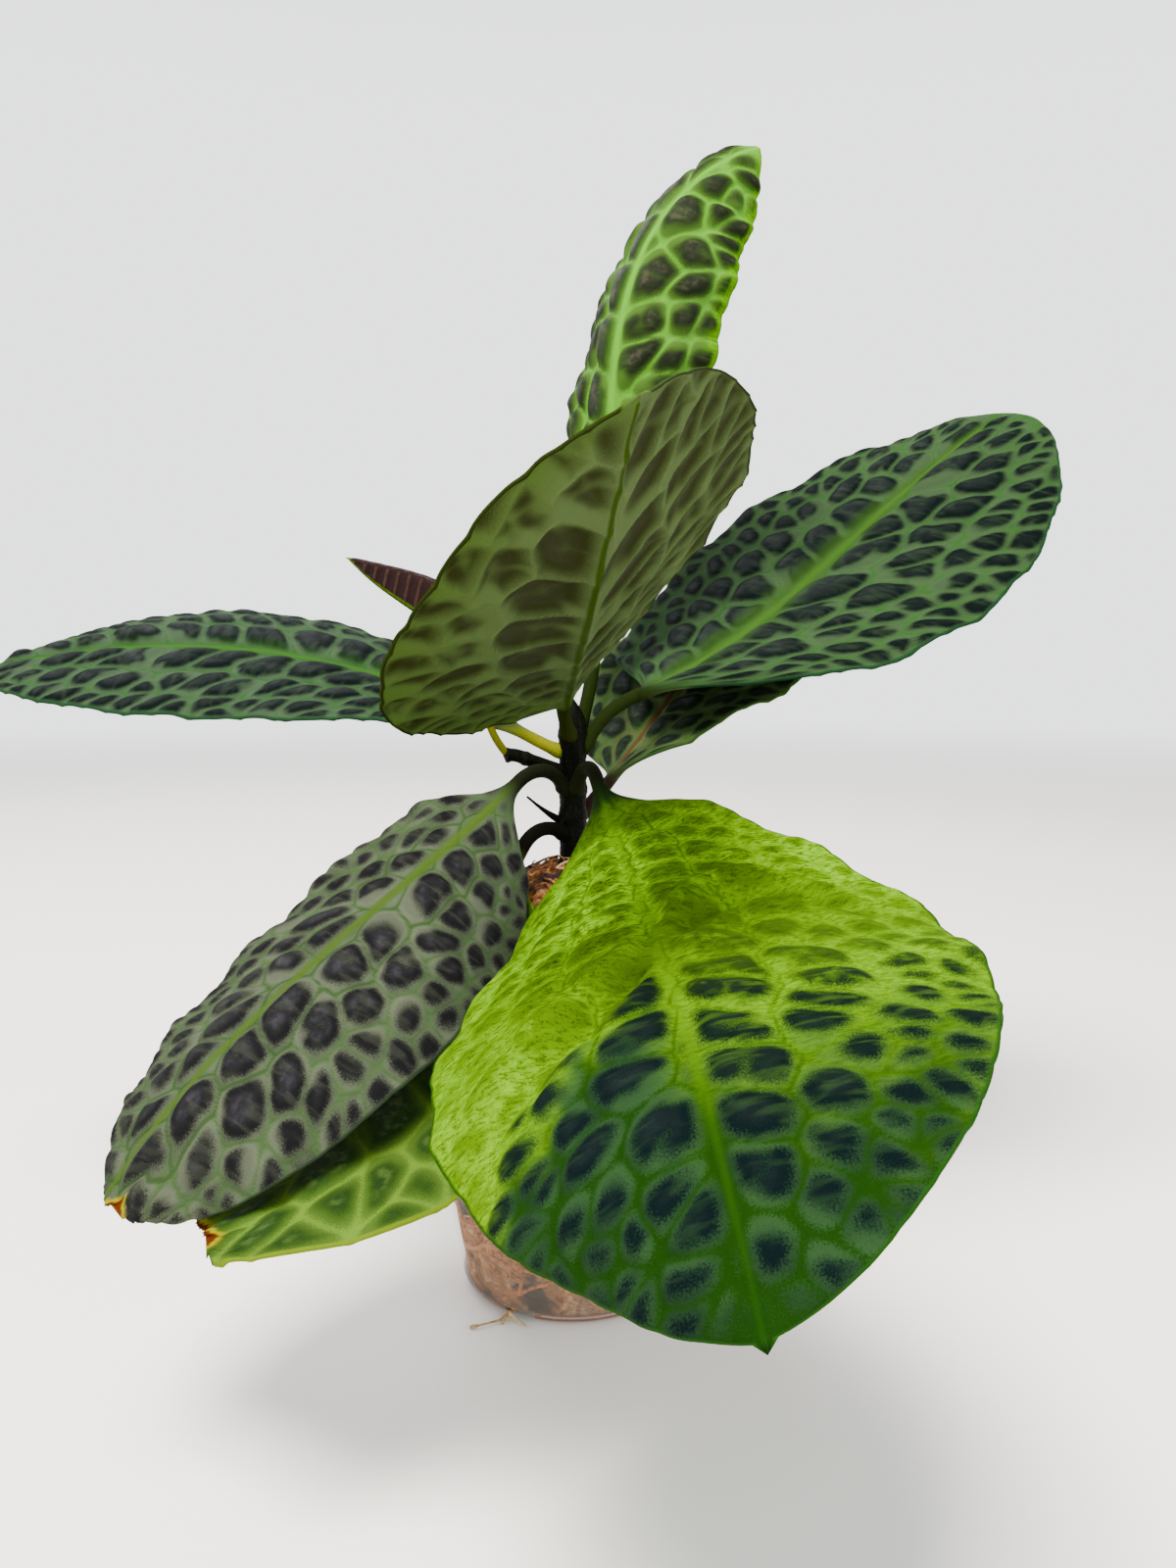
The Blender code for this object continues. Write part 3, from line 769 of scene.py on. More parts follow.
@dataclass
class Leaf:
    """One leaf: its stalk's place on the stem, how its midrib runs, how wide it is, and its relief.

    heading, pitch and roll give the midrib's direction at the base, middle and tip of the blade, in degrees.
    Right and left are as seen from the base with the upper face up.
    """

    name: str
    height: float
    stalk: float
    length: float
    half_right: float
    half_left: float
    stalk_heading: float
    stalk_pitch: float
    heading: tuple[float, float, float]
    pitch: tuple[float, float, float]
    roll: tuple[float, float, float]
    base_power: float
    tip_power: float
    fold: float
    curl_right: float
    curl_left: float
    finish: LeafFinish
    seed: int = 1
    start: float = 3.6  # distance of the stalk's start from the stem's axis, just inside its skin
    stalk_radius: float = 2.0
    rib_half: float = 0.95  # half width of the midrib at the base
    quilt: float = 0.30  # height of a cell as a share of its half width
    squash: float = 1.0  # a blotch is this much longer across and this much shorter along
    slant: float = 0.4  # how far a side vein runs forward for each mm that it runs out
    cells: tuple[int, int] = (10, 3)  # cells along the midrib, and from the midrib to the margin
    scallop_right: float = 0.5
    scallop_left: float = 0.5
    scallop_pitch: float = 6.5
    ruffle: float = 1.1
    bites: tuple[tuple[float, float, float], ...] = ()  # place across, half width across and depth in mm
    runs: tuple[float, float, float, float] = (0.0, 0.0, 0.0, 0.0)  # a blunt tip's apex, and runs in mm
    marks: tuple[tuple[float, float, float], ...] = ()  # pale scars: share, place across and radius in mm
    point: float = 2.0  # how far the tip's point runs on
    lit: Lit = Lit.NOWHERE
    lit_width: float = 4.0
    crease: float = 0.0  # height of the ridges that cross the blade at its middle
    under_shown: bool = False  # the under face is the one that shows, so it gets the fine grid
    rows: int = 205
    columns: int = 129
    thickness: float = 0.7

    CHEVRON = 0.065  # how far the rows run forward towards the margin, as a share of the length
    WHOLE = 0.9985  # last row of a whole leaf, as a share of the length
    BROKEN = 0.965  # last row of a broken leaf
    EASED = 0.12  # share of the blade over which the stalk's round turns into the sheet
    STALK_TURN = math.radians(80.0)  # how far each face reaches round the stalk, on either side
    COLUMN_SHARES = {3: (0.25, 0.62, 0.89), 4: (0.20, 0.50, 0.75, 0.93)}
    COLUMN_ROOM = (2.0, 8.0, 13.0, 18.0)  # half width that each column of cells needs, in mm
    BLOTCH_REACH = (0.05, 0.50, 0.60, 0.68)  # by how many share a cell, as a share of its half width
    BLOTCH_RADIUS = (1.28, 1.02, 0.84, 0.70)  # likewise
    CORNER = 0.9  # how far a cell's corners are rounded, in mm
    NONE = 1e9  # stands for no distance at all

    def midrib(self, along: np.ndarray) -> tuple[np.ndarray, np.ndarray, np.ndarray]:
        """Follow the stalk and midrib: heading and pitch turn the tangent, its running sum is the path.

        Args:
            along: distances from the stalk's start, in mm.

        Returns:
            Points, directions to the leaf's right, and upward normals.
        """
        count = 400
        total = self.stalk + self.length * 1.1
        steps = np.linspace(0.0, total, count + 1)
        stalk_share = np.clip(steps / self.stalk, 0.0, 1.0)
        share = np.clip((steps - self.stalk) / self.length, 0.0, 1.1)
        on_stalk = steps < self.stalk

        def run(values: tuple[float, float, float]) -> np.ndarray:
            """Quadratic through the values at the base, middle and tip."""
            base, middle, tip = values
            return (base * (2 * share - 1) * (share - 1) + 4 * middle * share * (1 - share)
                    + tip * share * (2 * share - 1))

        swing = self.heading[0] % 360 - self.stalk_heading % 360
        turned = self.stalk_heading + swing * stalk_share
        heading = np.radians(np.where(on_stalk, turned, run(self.heading)))
        rise = self.stalk_pitch + (self.pitch[0] - self.stalk_pitch) * stalk_share
        pitch = np.radians(np.where(on_stalk, rise, run(self.pitch)))
        roll = np.radians(np.where(on_stalk, self.roll[0] * stalk_share, run(self.roll)))[:, None]
        reach = np.cos(pitch)
        tangent = np.stack([reach * np.cos(heading), reach * np.sin(heading), np.sin(pitch)], -1)
        level = np.stack([np.sin(heading), -np.cos(heading), np.zeros_like(heading)], -1)
        above = np.cross(level, tangent)
        side = np.cos(roll) * level + np.sin(roll) * above
        normal = np.cos(roll) * above - np.sin(roll) * level
        start = polar(self.start, self.stalk_heading, self.height)
        moves = 0.5 * (tangent[1:] + tangent[:-1]) * (total / count)
        track = start + np.concatenate([np.zeros((1, 3)), np.cumsum(moves, axis=0)])

        def read(values: np.ndarray) -> np.ndarray:
            """Read each coordinate at the distances asked for."""
            return np.stack([np.interp(along, steps, values[:, axis]) for axis in range(3)], -1)

        return read(track), read(side), read(normal)

    def outline(self, share: np.ndarray, across: np.ndarray) -> np.ndarray:
        """Half width in mm: a power curve at base and tip, times each side's half width, plus the scallops.

        Args:
            share: place along the blade, from 0 to 1.
            across: place across it, from -1 at the left margin to 1 at the right.

        Returns:
            The half width of that side.
        """
        peak = self.base_power / (self.base_power + self.tip_power)
        top = peak ** self.base_power * (1 - peak) ** self.tip_power
        inside = np.clip(share, 0.0, 1.0)
        curve = inside ** self.base_power * (1 - inside) ** self.tip_power / top
        half = np.where(across > 0, self.half_right, self.half_left)
        depth = np.where(across > 0, self.scallop_right, self.scallop_left)
        wave = np.abs(np.sin(math.pi * share * self.length / self.scallop_pitch + self.seed)) ** 0.7 - 0.6
        fade = ease(inside, 0.0, 0.1) * ease(inside, 1.0, 0.93)
        return np.maximum(curve * half + depth * wave * fade * np.abs(across) ** 6, 0.0)

    def seeds(self) -> tuple[np.ndarray, np.ndarray, np.ndarray]:
        """Strew the middles of the cells in columns from the midrib out, with more cells outward.

        Returns:
            Places in mm, slanted along and across, column numbers, and a random number for each cell.
        """
        rng = np.random.default_rng(self.seed)
        along, columns = self.cells
        spots, numbers = [], []
        for side in (1.0, -1.0):
            for column, out in enumerate(self.COLUMN_SHARES[columns]):
                count = int(round(along * (1.0 + 0.28 * column ** 1.3)))
                row = (np.arange(count) + 0.5 + rng.uniform(-0.32, 0.32, count) + 0.25 * side) / count
                row = np.clip(row, 0.01, 0.985)
                half = self.outline(row, np.full(count, side * 0.5))
                across = (out + rng.uniform(-0.08, 0.08, count)) * half
                keep = half > self.COLUMN_ROOM[column]
                spots.append(np.stack([row * self.length - self.slant * across, side * across], -1)[keep])
                numbers.append(np.full(int(keep.sum()), column))
        places = np.concatenate(spots)
        return places, np.concatenate(numbers), rng.uniform(0.0, 1.0, len(places))

    def blotches(self, places: np.ndarray,
                 size: np.ndarray) -> tuple[np.ndarray, np.ndarray, np.ndarray]:
        """Strew the blotches: one to four discs round the middle of each cell, by the cell's size.

        Args:
            places: middles of the cells in mm.
            size: half widths of the cells in mm.

        Returns:
            Middles and radii in mm, and the number of each one's cell.
        """
        rng = np.random.default_rng(self.seed + 100)
        count = np.clip(np.round(size / 1.55 + rng.uniform(-1.0, 0.5, len(size))).astype(int), 1, 4)
        parent = np.repeat(np.arange(len(places)), count)
        order = np.arange(len(parent)) - np.repeat(np.cumsum(count) - count, count)
        turn = 2 * math.pi * (order / count[parent] + rng.uniform(0.0, 1.0, len(places))[parent])
        turn += rng.uniform(-0.45, 0.45, len(parent))
        reach = np.array(self.BLOTCH_REACH)[count - 1][parent] * size[parent]
        reach *= rng.uniform(0.85, 1.15, len(parent))
        radius = np.array(self.BLOTCH_RADIUS)[count - 1][parent] * size[parent]
        radius *= rng.uniform(0.8, 1.15, len(parent))
        spread = np.stack([np.cos(turn) / self.squash, np.sin(turn) * self.squash], -1)
        return places[parent] + reach[:, None] * spread, radius, parent

    def areoles(self, along: np.ndarray, across: np.ndarray, half: np.ndarray,
                rib: np.ndarray) -> dict[str, np.ndarray]:
        """Divide the blade into cells, and each cell into blotches, and measure how far inside each point is.

        The distance to the line midway between the two nearest middles is (far squared less near squared)
        over twice their spacing. A soft minimum over all neighbours, the midrib and the margin rounds the
        corners. The depth inside a blotch is the soft maximum of radius less distance over its cell's discs.

        Args:
            along: place along the blade in mm.
            across: place across it in mm, signed.
            half: half width there in mm.
            rib: half width of the midrib there in mm.

        Returns:
            Channels: cell (distance to the net in mm), crack (depth inside a blotch in mm, below 0 between
            blotches), size (half width of the cell), tone and vein.
        """

        def weight(away: np.ndarray) -> np.ndarray:
            """A border's weight in the soft minimum, which falls off with its distance."""
            return np.exp(-np.clip(away, 0.0, 40.0) / self.CORNER)

        places, column, tone = self.seeds()
        spot = np.stack([along - self.slant * np.abs(across), across], -1)
        for scale, bend in ((9.0, 1.5), (3.2, 0.45)):
            spot = spot + bend * sway(along, across, scale, 0.5, (self.seed, self.seed + 50))
        square = ((spot[..., None, :] - places) ** 2).sum(-1)
        near = square.argmin(-1)
        apart = np.linalg.norm(places[:, None] - places[None], axis=-1)
        np.fill_diagonal(apart, self.NONE)
        gap = (square - np.take_along_axis(square, near[..., None], -1)) / (2.0 * apart[near])
        np.put_along_axis(gap, near[..., None], self.NONE, -1)
        second = gap.argmin(-1)
        out = np.abs(across)
        total = weight(gap).sum(-1) + weight(out - rib * 1.1) + weight(half - out + 0.6)
        distance = np.clip(-self.CORNER * np.log(total) + 0.4, 0.0, None)
        border = np.take_along_axis(gap, second[..., None], -1)[..., 0]
        strong = np.where(np.minimum(column[near], column[second]) < 1, 1.0, 0.7)
        size = 0.5 * np.sort(apart, axis=1)[:, :3].mean(axis=1)

        middles, radii, parent = self.blotches(places, size)
        spot = spot + 1.3 * sway(along, across, 3.4, 1.5, (self.seed, self.seed + 9))
        away = (spot[..., None, :] - middles) * np.array([self.squash, 1.0 / self.squash])
        inside = radii - np.sqrt((away ** 2).sum(-1))
        inside = np.where(parent == near[..., None], inside, -40.0)
        soft = 0.45
        crack = np.clip(soft * np.log(np.exp(inside / soft).sum(-1) + 1e-30), -4.0, 8.0)
        return {"cell": distance, "crack": crack, "size": size[near], "tone": tone[near],
                "vein": strong * np.exp(-(border / 0.60) ** 2)}

    def relief(self, cells: dict[str, np.ndarray], share: np.ndarray, across: np.ndarray,
               mm_across: np.ndarray, rib: np.ndarray) -> np.ndarray:
        """Height of the quilting: cells and blotches are pillows, 1 - (1 - d / size) squared.

        Args:
            cells: channels from areoles.
            share: place along the blade from 0 to 1.
            across: place across it from -1 to 1.
            mm_across: the same in mm.
            rib: half width of the midrib in mm.

        Returns:
            Heights in mm.
        """
        part = np.clip(cells["cell"] / (0.85 * cells["size"]), 0.0, 1.0)
        small = np.clip(np.minimum(cells["cell"], cells["crack"] + 0.8) / (0.5 * cells["size"]), 0.0, 1.0)
        pillow = 0.8 * (1.0 - (1.0 - part) ** 2) + 0.2 * (1.0 - (1.0 - small) ** 2)
        pillow *= np.minimum(self.quilt * cells["size"], 2.6) * (0.8 + 0.4 * cells["tone"])
        for _ in range(2):
            pillow[1:-1] = 0.25 * pillow[:-2] + 0.5 * pillow[1:-1] + 0.25 * pillow[2:]
            pillow[:, 1:-1] = 0.25 * pillow[:, :-2] + 0.5 * pillow[:, 1:-1] + 0.25 * pillow[:, 2:]
        wave = np.sin(2 * math.pi * share * self.length / 31.0 + 2.0 * np.sign(across) + self.seed)
        ruffle = self.ruffle * np.abs(across) ** 3 * wave
        raised = 0.35 * np.exp(-(mm_across / np.maximum(rib, 0.2)) ** 2)
        height = pillow + ruffle + raised
        return height + self.ridge(share, across) if self.crease else height

    def ridge(self, share: np.ndarray, across: np.ndarray) -> np.ndarray:
        """Height of the ridge where the blade bends down: a bell, then a hollow, then a fan of ripples.

        Args:
            share: place along the blade from 0 to 1.
            across: place across it from -1 to 1.

        Returns:
            Heights in mm.
        """
        out, half_width = np.abs(across), 5.0
        away = (share - self.bend(across)) * self.length
        crest = np.exp(-(away / half_width) ** 2)
        hollow = 0.75 * np.exp(-((away - 9.0) / half_width) ** 2)
        fan = 0.28 * np.sin(away / 3.1 + 3.0 * out) * np.exp(-((away - 16.0) / 16.0) ** 2)
        return self.crease * ease(out, 0.02, 0.14) * ease(out, 0.95, 0.45) * (crest - hollow + fan)

    def bend(self, across: np.ndarray) -> np.ndarray:
        """Share of the blade where it bends down: the line runs back on the left and forward on the right.

        Args:
            across: place across the blade from -1 to 1.

        Returns:
            The shares.
        """
        out = np.abs(across)
        back = 0.05 * out - 0.11 * np.sin(math.pi * np.minimum(out / 0.9, 1.0))
        return 0.45 + np.where(across < 0, back, 0.25 * out ** 0.6)

    def lit_zone(self, share: np.ndarray, across: np.ndarray, edge: np.ndarray) -> np.ndarray:
        """How far each point lies in the leaf's painted lit zone: from 0 to 1, and up to 1.5 in its painted
        pool of sun.

        The zone of a leaf lit at its base fills the blade up to its bend, and beyond the bend it fades out on
        one side. Near the stalk it gives way to painted shade.

        Args:
            share: place along the blade from 0 to 1.
            across: place across it from -1 to 1.
            edge: distance to the margin in mm.

        Returns:
            The zone's numbers.
        """
        if self.lit is Lit.NOWHERE:
            return np.zeros_like(share * across)
        if self.lit is Lit.RIGHT_EDGE:
            return np.where(across > 0, np.exp(-(edge / self.lit_width) ** 2), 0.0)
        where = np.stack(np.broadcast_arrays(share * 14.0, across * 5.0, 0.5), -1)
        ragged = 0.05 * lattice_noise(where, self.seed + 7) + 0.02 * lattice_noise(where * 3.1, self.seed + 8)
        on_right = ease(across, -0.02, 0.06)
        border = self.bend(across) + ragged + 0.045 * on_right
        full = ease((share - border) / (0.3 + 0.7 * on_right), 0.11, -0.03)
        beyond = 0.73 * ease(share, 0.98 + ragged, 0.50 + ragged) * ease(across, 0.25, -0.05)
        sunlit = 0.36 + 0.64 * np.exp(-((across - 0.30) / 0.40) ** 2)
        sunlit = 0.6 * np.exp(-((share - 0.27) / 0.20) ** 2) * sunlit
        shaded = 0.95 * ease(share + 0.4 * ragged, 0.15, 0.04)
        return (np.maximum(full, beyond) + sunlit) * (1.0 - shaded)

    def place_grid(self) -> tuple[np.ndarray, np.ndarray, np.ndarray]:
        """Rows along the stalk and blade, closer at both ends, and places across, closer at the midrib.

        Between base and tip the rows run forward towards the margin: the share is the row plus the chevron
        times the place across to the 1.4, times 4 row (last - row).

        Returns:
            Row shares as a column, negative on the stalk, places across from -1 to 1, and each point's share.
        """
        last = self.BROKEN if self.bites else self.WHOLE
        even = np.linspace(0.0, 1.0, self.rows)
        blade = last * (even - 0.35 * np.sin(2 * math.pi * even) / (2 * math.pi))
        count = max(int(self.stalk), 8)
        stalk = (np.arange(count) / count - 1.0) * self.stalk / self.length
        rows = np.concatenate([stalk, blade])[:, None]
        inside = np.clip(rows, 0.0, 1.0)
        even = np.linspace(-1.0, 1.0, self.columns)
        across = even * (0.65 + 0.35 * np.abs(even))
        forward = self.CHEVRON * np.abs(across) ** 1.4 * 4.0 * inside * (rows[-1, 0] - inside)
        return rows, across, rows + forward

    def arc(self, share: np.ndarray,
            across: np.ndarray) -> tuple[np.ndarray, np.ndarray, np.ndarray, np.ndarray]:
        """Bend the blade's section to an arc on each side of the midrib, from the fold out to the margin.

        It is half (sin lean - sin fold) / curl across and half (cos fold - cos lean) / curl up, where lean
        is the fold plus the curl times the place across.

        Args:
            share: place along the blade from 0 to 1.
            across: place across it from -1 to 1.

        Returns:
            Half widths in mm, leans in radians, and the arc's places across and up in mm.
        """
        fold = math.radians(self.fold)
        curl = np.radians(np.where(across > 0, self.curl_right, self.curl_left))
        lean = fold + curl * np.abs(across)
        half = self.outline(share, across)
        level = half * np.sign(across) * (np.sin(lean) - math.sin(fold)) / curl
        return half, lean, level, half * (math.cos(fold) - np.cos(lean)) / curl

    def shell(self) -> tuple[Shell, np.ndarray]:
        """Work out the leaf's closed surface.

        The arcs along the midrib make a sheet. Both faces are that sheet moved along its normal by the
        relief, plus or minus half the thickness. The stalk's round section eases into it.

        Returns:
            The shell, and its surface map in mm.
        """
        rows, across, share = self.place_grid()
        last = rows[-1, 0]
        inside = np.clip(rows, 0.0, 1.0)
        run = (self.tip_run(across) - self.bitten(across)) * ease(inside, 0.80, last) / self.length
        point, side, normal = self.midrib(self.stalk + (share + run) * self.length)
        side[0], normal[0] = polar(1.0, self.stalk_heading - 90.0, 0.0), (0.0, 0.0, 1.0)

        half, _, level, lift = self.arc(share, across)
        sheet = point + side * level[..., None] + normal * lift[..., None]
        facing = np.cross(np.gradient(sheet, axis=1), np.gradient(sheet, axis=0))
        facing /= np.maximum(np.linalg.norm(facing, axis=-1, keepdims=True), 1e-9)

        stretched = np.broadcast_to(inside, share.shape)
        rib = self.rib_half * (1.0 - stretched) ** 0.8 + 0.40
        mm_across = across * half
        mm_along = share * self.length
        cells = self.areoles(mm_along, mm_across, half, rib)
        faded = ease(stretched, 0.0, 0.12) * ease(stretched, 1.0, 0.95)
        height = (faded * self.relief(cells, share, across, mm_across, rib))[..., None]
        blend = ease(stretched, 0.0, self.EASED)[..., None]
        keel = 0.8 * self.stalk_radius * (1.0 - stretched) ** 0.8 * np.exp(-(mm_across / rib) ** 2)
        thin = 0.5 * self.thickness
        upper_flat = sheet + facing * (height + thin)
        sunk = height - thin - 0.3 * cells["vein"][..., None] * blend
        under_flat = sheet + facing * sunk - normal * keel[..., None]

        turn = across * self.STALK_TURN
        section = self.stalk_radius * (1.0 + self.swell(rows))
        round_x = (section * np.sin(turn))[..., None] * side
        round_z = (section * np.cos(turn))[..., None] * normal
        upper = (1 - blend) * (point + round_x + round_z) + blend * upper_flat
        under = (1 - blend) * (point + round_x - round_z) + blend * under_flat

        edge = np.maximum(half - np.abs(mm_across), 0.0)
        channels = {
            "cell": cells["cell"] * faded, "crack": cells["crack"], "tone": cells["tone"],
            "vein": cells["vein"] * faded, "mark": self.scars(share, across, half),
            "rib": np.abs(mm_across) / rib, "edge": edge + 5.0 * (1.0 - ease(stretched, 0.0, 0.06)),
            "zone": self.lit_zone(share, across, edge), "burn": self.burn(stretched, across, last),
            "stalk": ease(stretched, 0.075, 0.0) * np.ones_like(share),
        }
        return self.closed(upper, under, channels, mm_along, mm_across)

    def swell(self, rows: np.ndarray) -> np.ndarray:
        """Swelling of the stalk where it leaves the stem: a bell over its first 3 mm."""
        return 0.3 * np.exp(-(((rows - rows[0]) * self.length) / 2.6) ** 2)

    def bitten(self, across: np.ndarray) -> np.ndarray:
        """How far the damage eats into a broken tip: a bell for each bite, and a fine ripple, in mm."""
        eaten = sum(depth * np.exp(-((across - middle) / half) ** 2) for middle, half, depth in self.bites)
        return eaten * (1.0 + 0.15 * np.sin(37.0 * across)) + 0.25 * bool(self.bites) * np.sin(61.0 * across)

    def tip_run(self, across: np.ndarray) -> np.ndarray:
        """How far a blunt tip runs on, in mm: straight lines from margin to apex to margin."""
        apex, left, middle, right = self.runs
        return np.interp(across, (-1.0, apex, 1.0), (left, middle, right))

    def scars(self, share: np.ndarray, across: np.ndarray, half: np.ndarray) -> np.ndarray:
        """Pale scars: for each, a bell of the distance from its middle over its radius.

        Args:
            share: place along the blade from 0 to 1.
            across: place across it from -1 to 1.
            half: half width there in mm.

        Returns:
            Numbers that reach 1 in the middle of a scar.
        """
        total = np.zeros_like(share * across)
        for place, middle, radius in self.marks:
            away = np.hypot((share - place) * self.length, (across - middle) * half)
            total = total + np.exp(-(away / radius) ** 2)
        return total

    def burn(self, inside: np.ndarray, across: np.ndarray, last: float) -> np.ndarray:
        """Scorch along a broken tip: it fades over a few mm from the torn edge, and shows beside the bites.

        Args:
            inside: row shares from 0 to 1.
            across: places across the leaf.
            last: share of the last row.

        Returns:
            Numbers from 0 to 1.
        """
        if not self.bites:
            return np.zeros_like(inside * across)
        beside = sum(np.exp(-((across - middle) / (2.2 * half)) ** 4) for middle, half, _ in self.bites)
        return np.exp(-(last - inside) * self.length / 1.8) * np.clip(beside, 0.0, 1.0)

    def closed(self, upper: np.ndarray, under: np.ndarray, channels: dict[str, np.ndarray],
               mm_along: np.ndarray, mm_across: np.ndarray) -> tuple[Shell, np.ndarray]:
        """Join both faces into rings, the hidden one with every second column.

        Args:
            upper: points of the upper face, rows by columns.
            under: points of the under face.
            channels: numbers for each row and column.
            mm_along: place along the blade in mm.
            mm_across: place across it in mm.

        Returns:
            The closed shell and its surface map.
        """
        full, thinned = np.arange(self.columns), np.arange(0, self.columns, 2)
        over, below = (thinned, full[::-1]) if self.under_shown else (full, thinned[::-1])
        rings = np.concatenate([upper[:, over], under[:, below]], axis=1)

        def ringed(values: np.ndarray) -> np.ndarray:
            """Arrange one channel as the rings are."""
            return np.concatenate([values[:, over], values[:, below]], axis=1)

        size = upper.shape[:2]
        kept = {name: ringed(np.broadcast_to(values, size)) for name, values in channels.items()}
        faces = [np.ones((len(rings), len(over))), np.zeros((len(rings), len(below)))]
        kept["upper"] = np.concatenate(faces, axis=1)
        middle = self.columns // 2
        step = upper[-1, middle] - upper[-3, middle]
        run = 0.0 if self.bites else self.point
        tip = 0.5 * (upper[-1, middle] + under[-1, middle]) + run * step / np.linalg.norm(step)
        flat = np.stack([ringed(mm_along), ringed(mm_across)], -1).reshape(-1, 2)
        ends = np.array([flat[len(over) // 2], flat[-len(below) // 2]])
        return lofted(rings, (rings[0].mean(axis=0), tip), kept), np.concatenate([flat, ends])

    def build(self) -> None:
        """Make the leaf's piece."""
        shell, surface = self.shell()
        piece = self.name + "_blade"
        material = self.finish.material(self.name + "_finish")
        finish_piece(piece, shell.mesh(piece, surface), material, (self.name,))


@dataclass
class YoungLeaf(Leaf):
    """The young leaf, still folded: its halves stand up beside the keel, with a groove between."""

    groove: float = 2.0
    skin: float = 0.45  # half the thickness of the folded blade's wall
    pleat: float = 0.35
    pleat_pitch: float = 5.2
    keel_half: float = 0.9

    def shell(self) -> tuple[Shell, np.ndarray]:
        """Work out the folded leaf: the outside as on any leaf, the inside a groove between the margins.

        The pleats stand out by the pleat times the size of sin(pi times the length over their pitch).

        Returns:
            The shell, and its surface map in mm.
        """
        rows, across, share = self.place_grid()
        inside = np.broadcast_to(np.clip(rows, 0.0, 1.0), share.shape)
        out = np.abs(across)
        point, side, normal = self.midrib(self.stalk + share * self.length)
        half, lean, level, lift = self.arc(share, across)
        beat = share * self.length / self.pleat_pitch
        pleat = self.pleat * np.abs(np.sin(math.pi * beat)) * ease(out, 0.05, 0.25) * ease(out, 1.0, 0.8)
        wall = self.skin + pleat * ease(inside, 0.0, self.EASED) * ease(inside, 1.0, 0.9)
        keel = self.stalk_radius * (1.0 - inside) ** 0.8 * (out < 0.02)
        low_x = level + np.sin(lean) * np.sign(across) * wall
        low_z = lift - np.cos(lean) * wall - keel
        deep = self.groove * (1.0 - out) * half / max(self.half_left, self.half_right)
        top_z = lift[:, :1] + self.skin - deep
        blend = ease(inside, 0.0, self.EASED)
        turn = across * self.STALK_TURN
        round_x, round_z = self.stalk_radius * np.sin(turn), self.stalk_radius * np.cos(turn)

        def placed(x: np.ndarray, z: np.ndarray, up: float) -> np.ndarray:
            """Ease a section's coordinates from the stalk's round and put them into space."""
            spot = np.stack([(1 - blend) * round_x + blend * x, (1 - blend) * round_z * up + blend * z])
            return point + side * spot[0][..., None] + normal * spot[1][..., None]

        # partly painted highlight: the pale net tint along each pleat's crest stands for the paler rib and
        # the light on it
        pleats = np.exp(-((np.mod(beat, 1.0) - 0.5) / 0.16) ** 2)
        none = np.zeros_like(share)
        channels = {
            "cell": 4.0 * (1.0 - pleats), "crack": none + 8.0, "tone": none + 0.6,
            "rib": out * half / self.keel_half,
            "edge": half * (1.0 - out) + 3.0 * (1.0 - ease(inside, 0.0, 0.1)),
            "stalk": ease(inside, 0.10, 0.0) * np.ones_like(share),
            "vein": none, "mark": none, "zone": none, "burn": none,
        }
        mm_along = np.broadcast_to(rows * self.length, share.shape)
        upper, under = placed(level * 0.8, top_z, 1.0), placed(low_x, low_z, -1.0)
        return self.closed(upper, under, channels, mm_along, across * half)


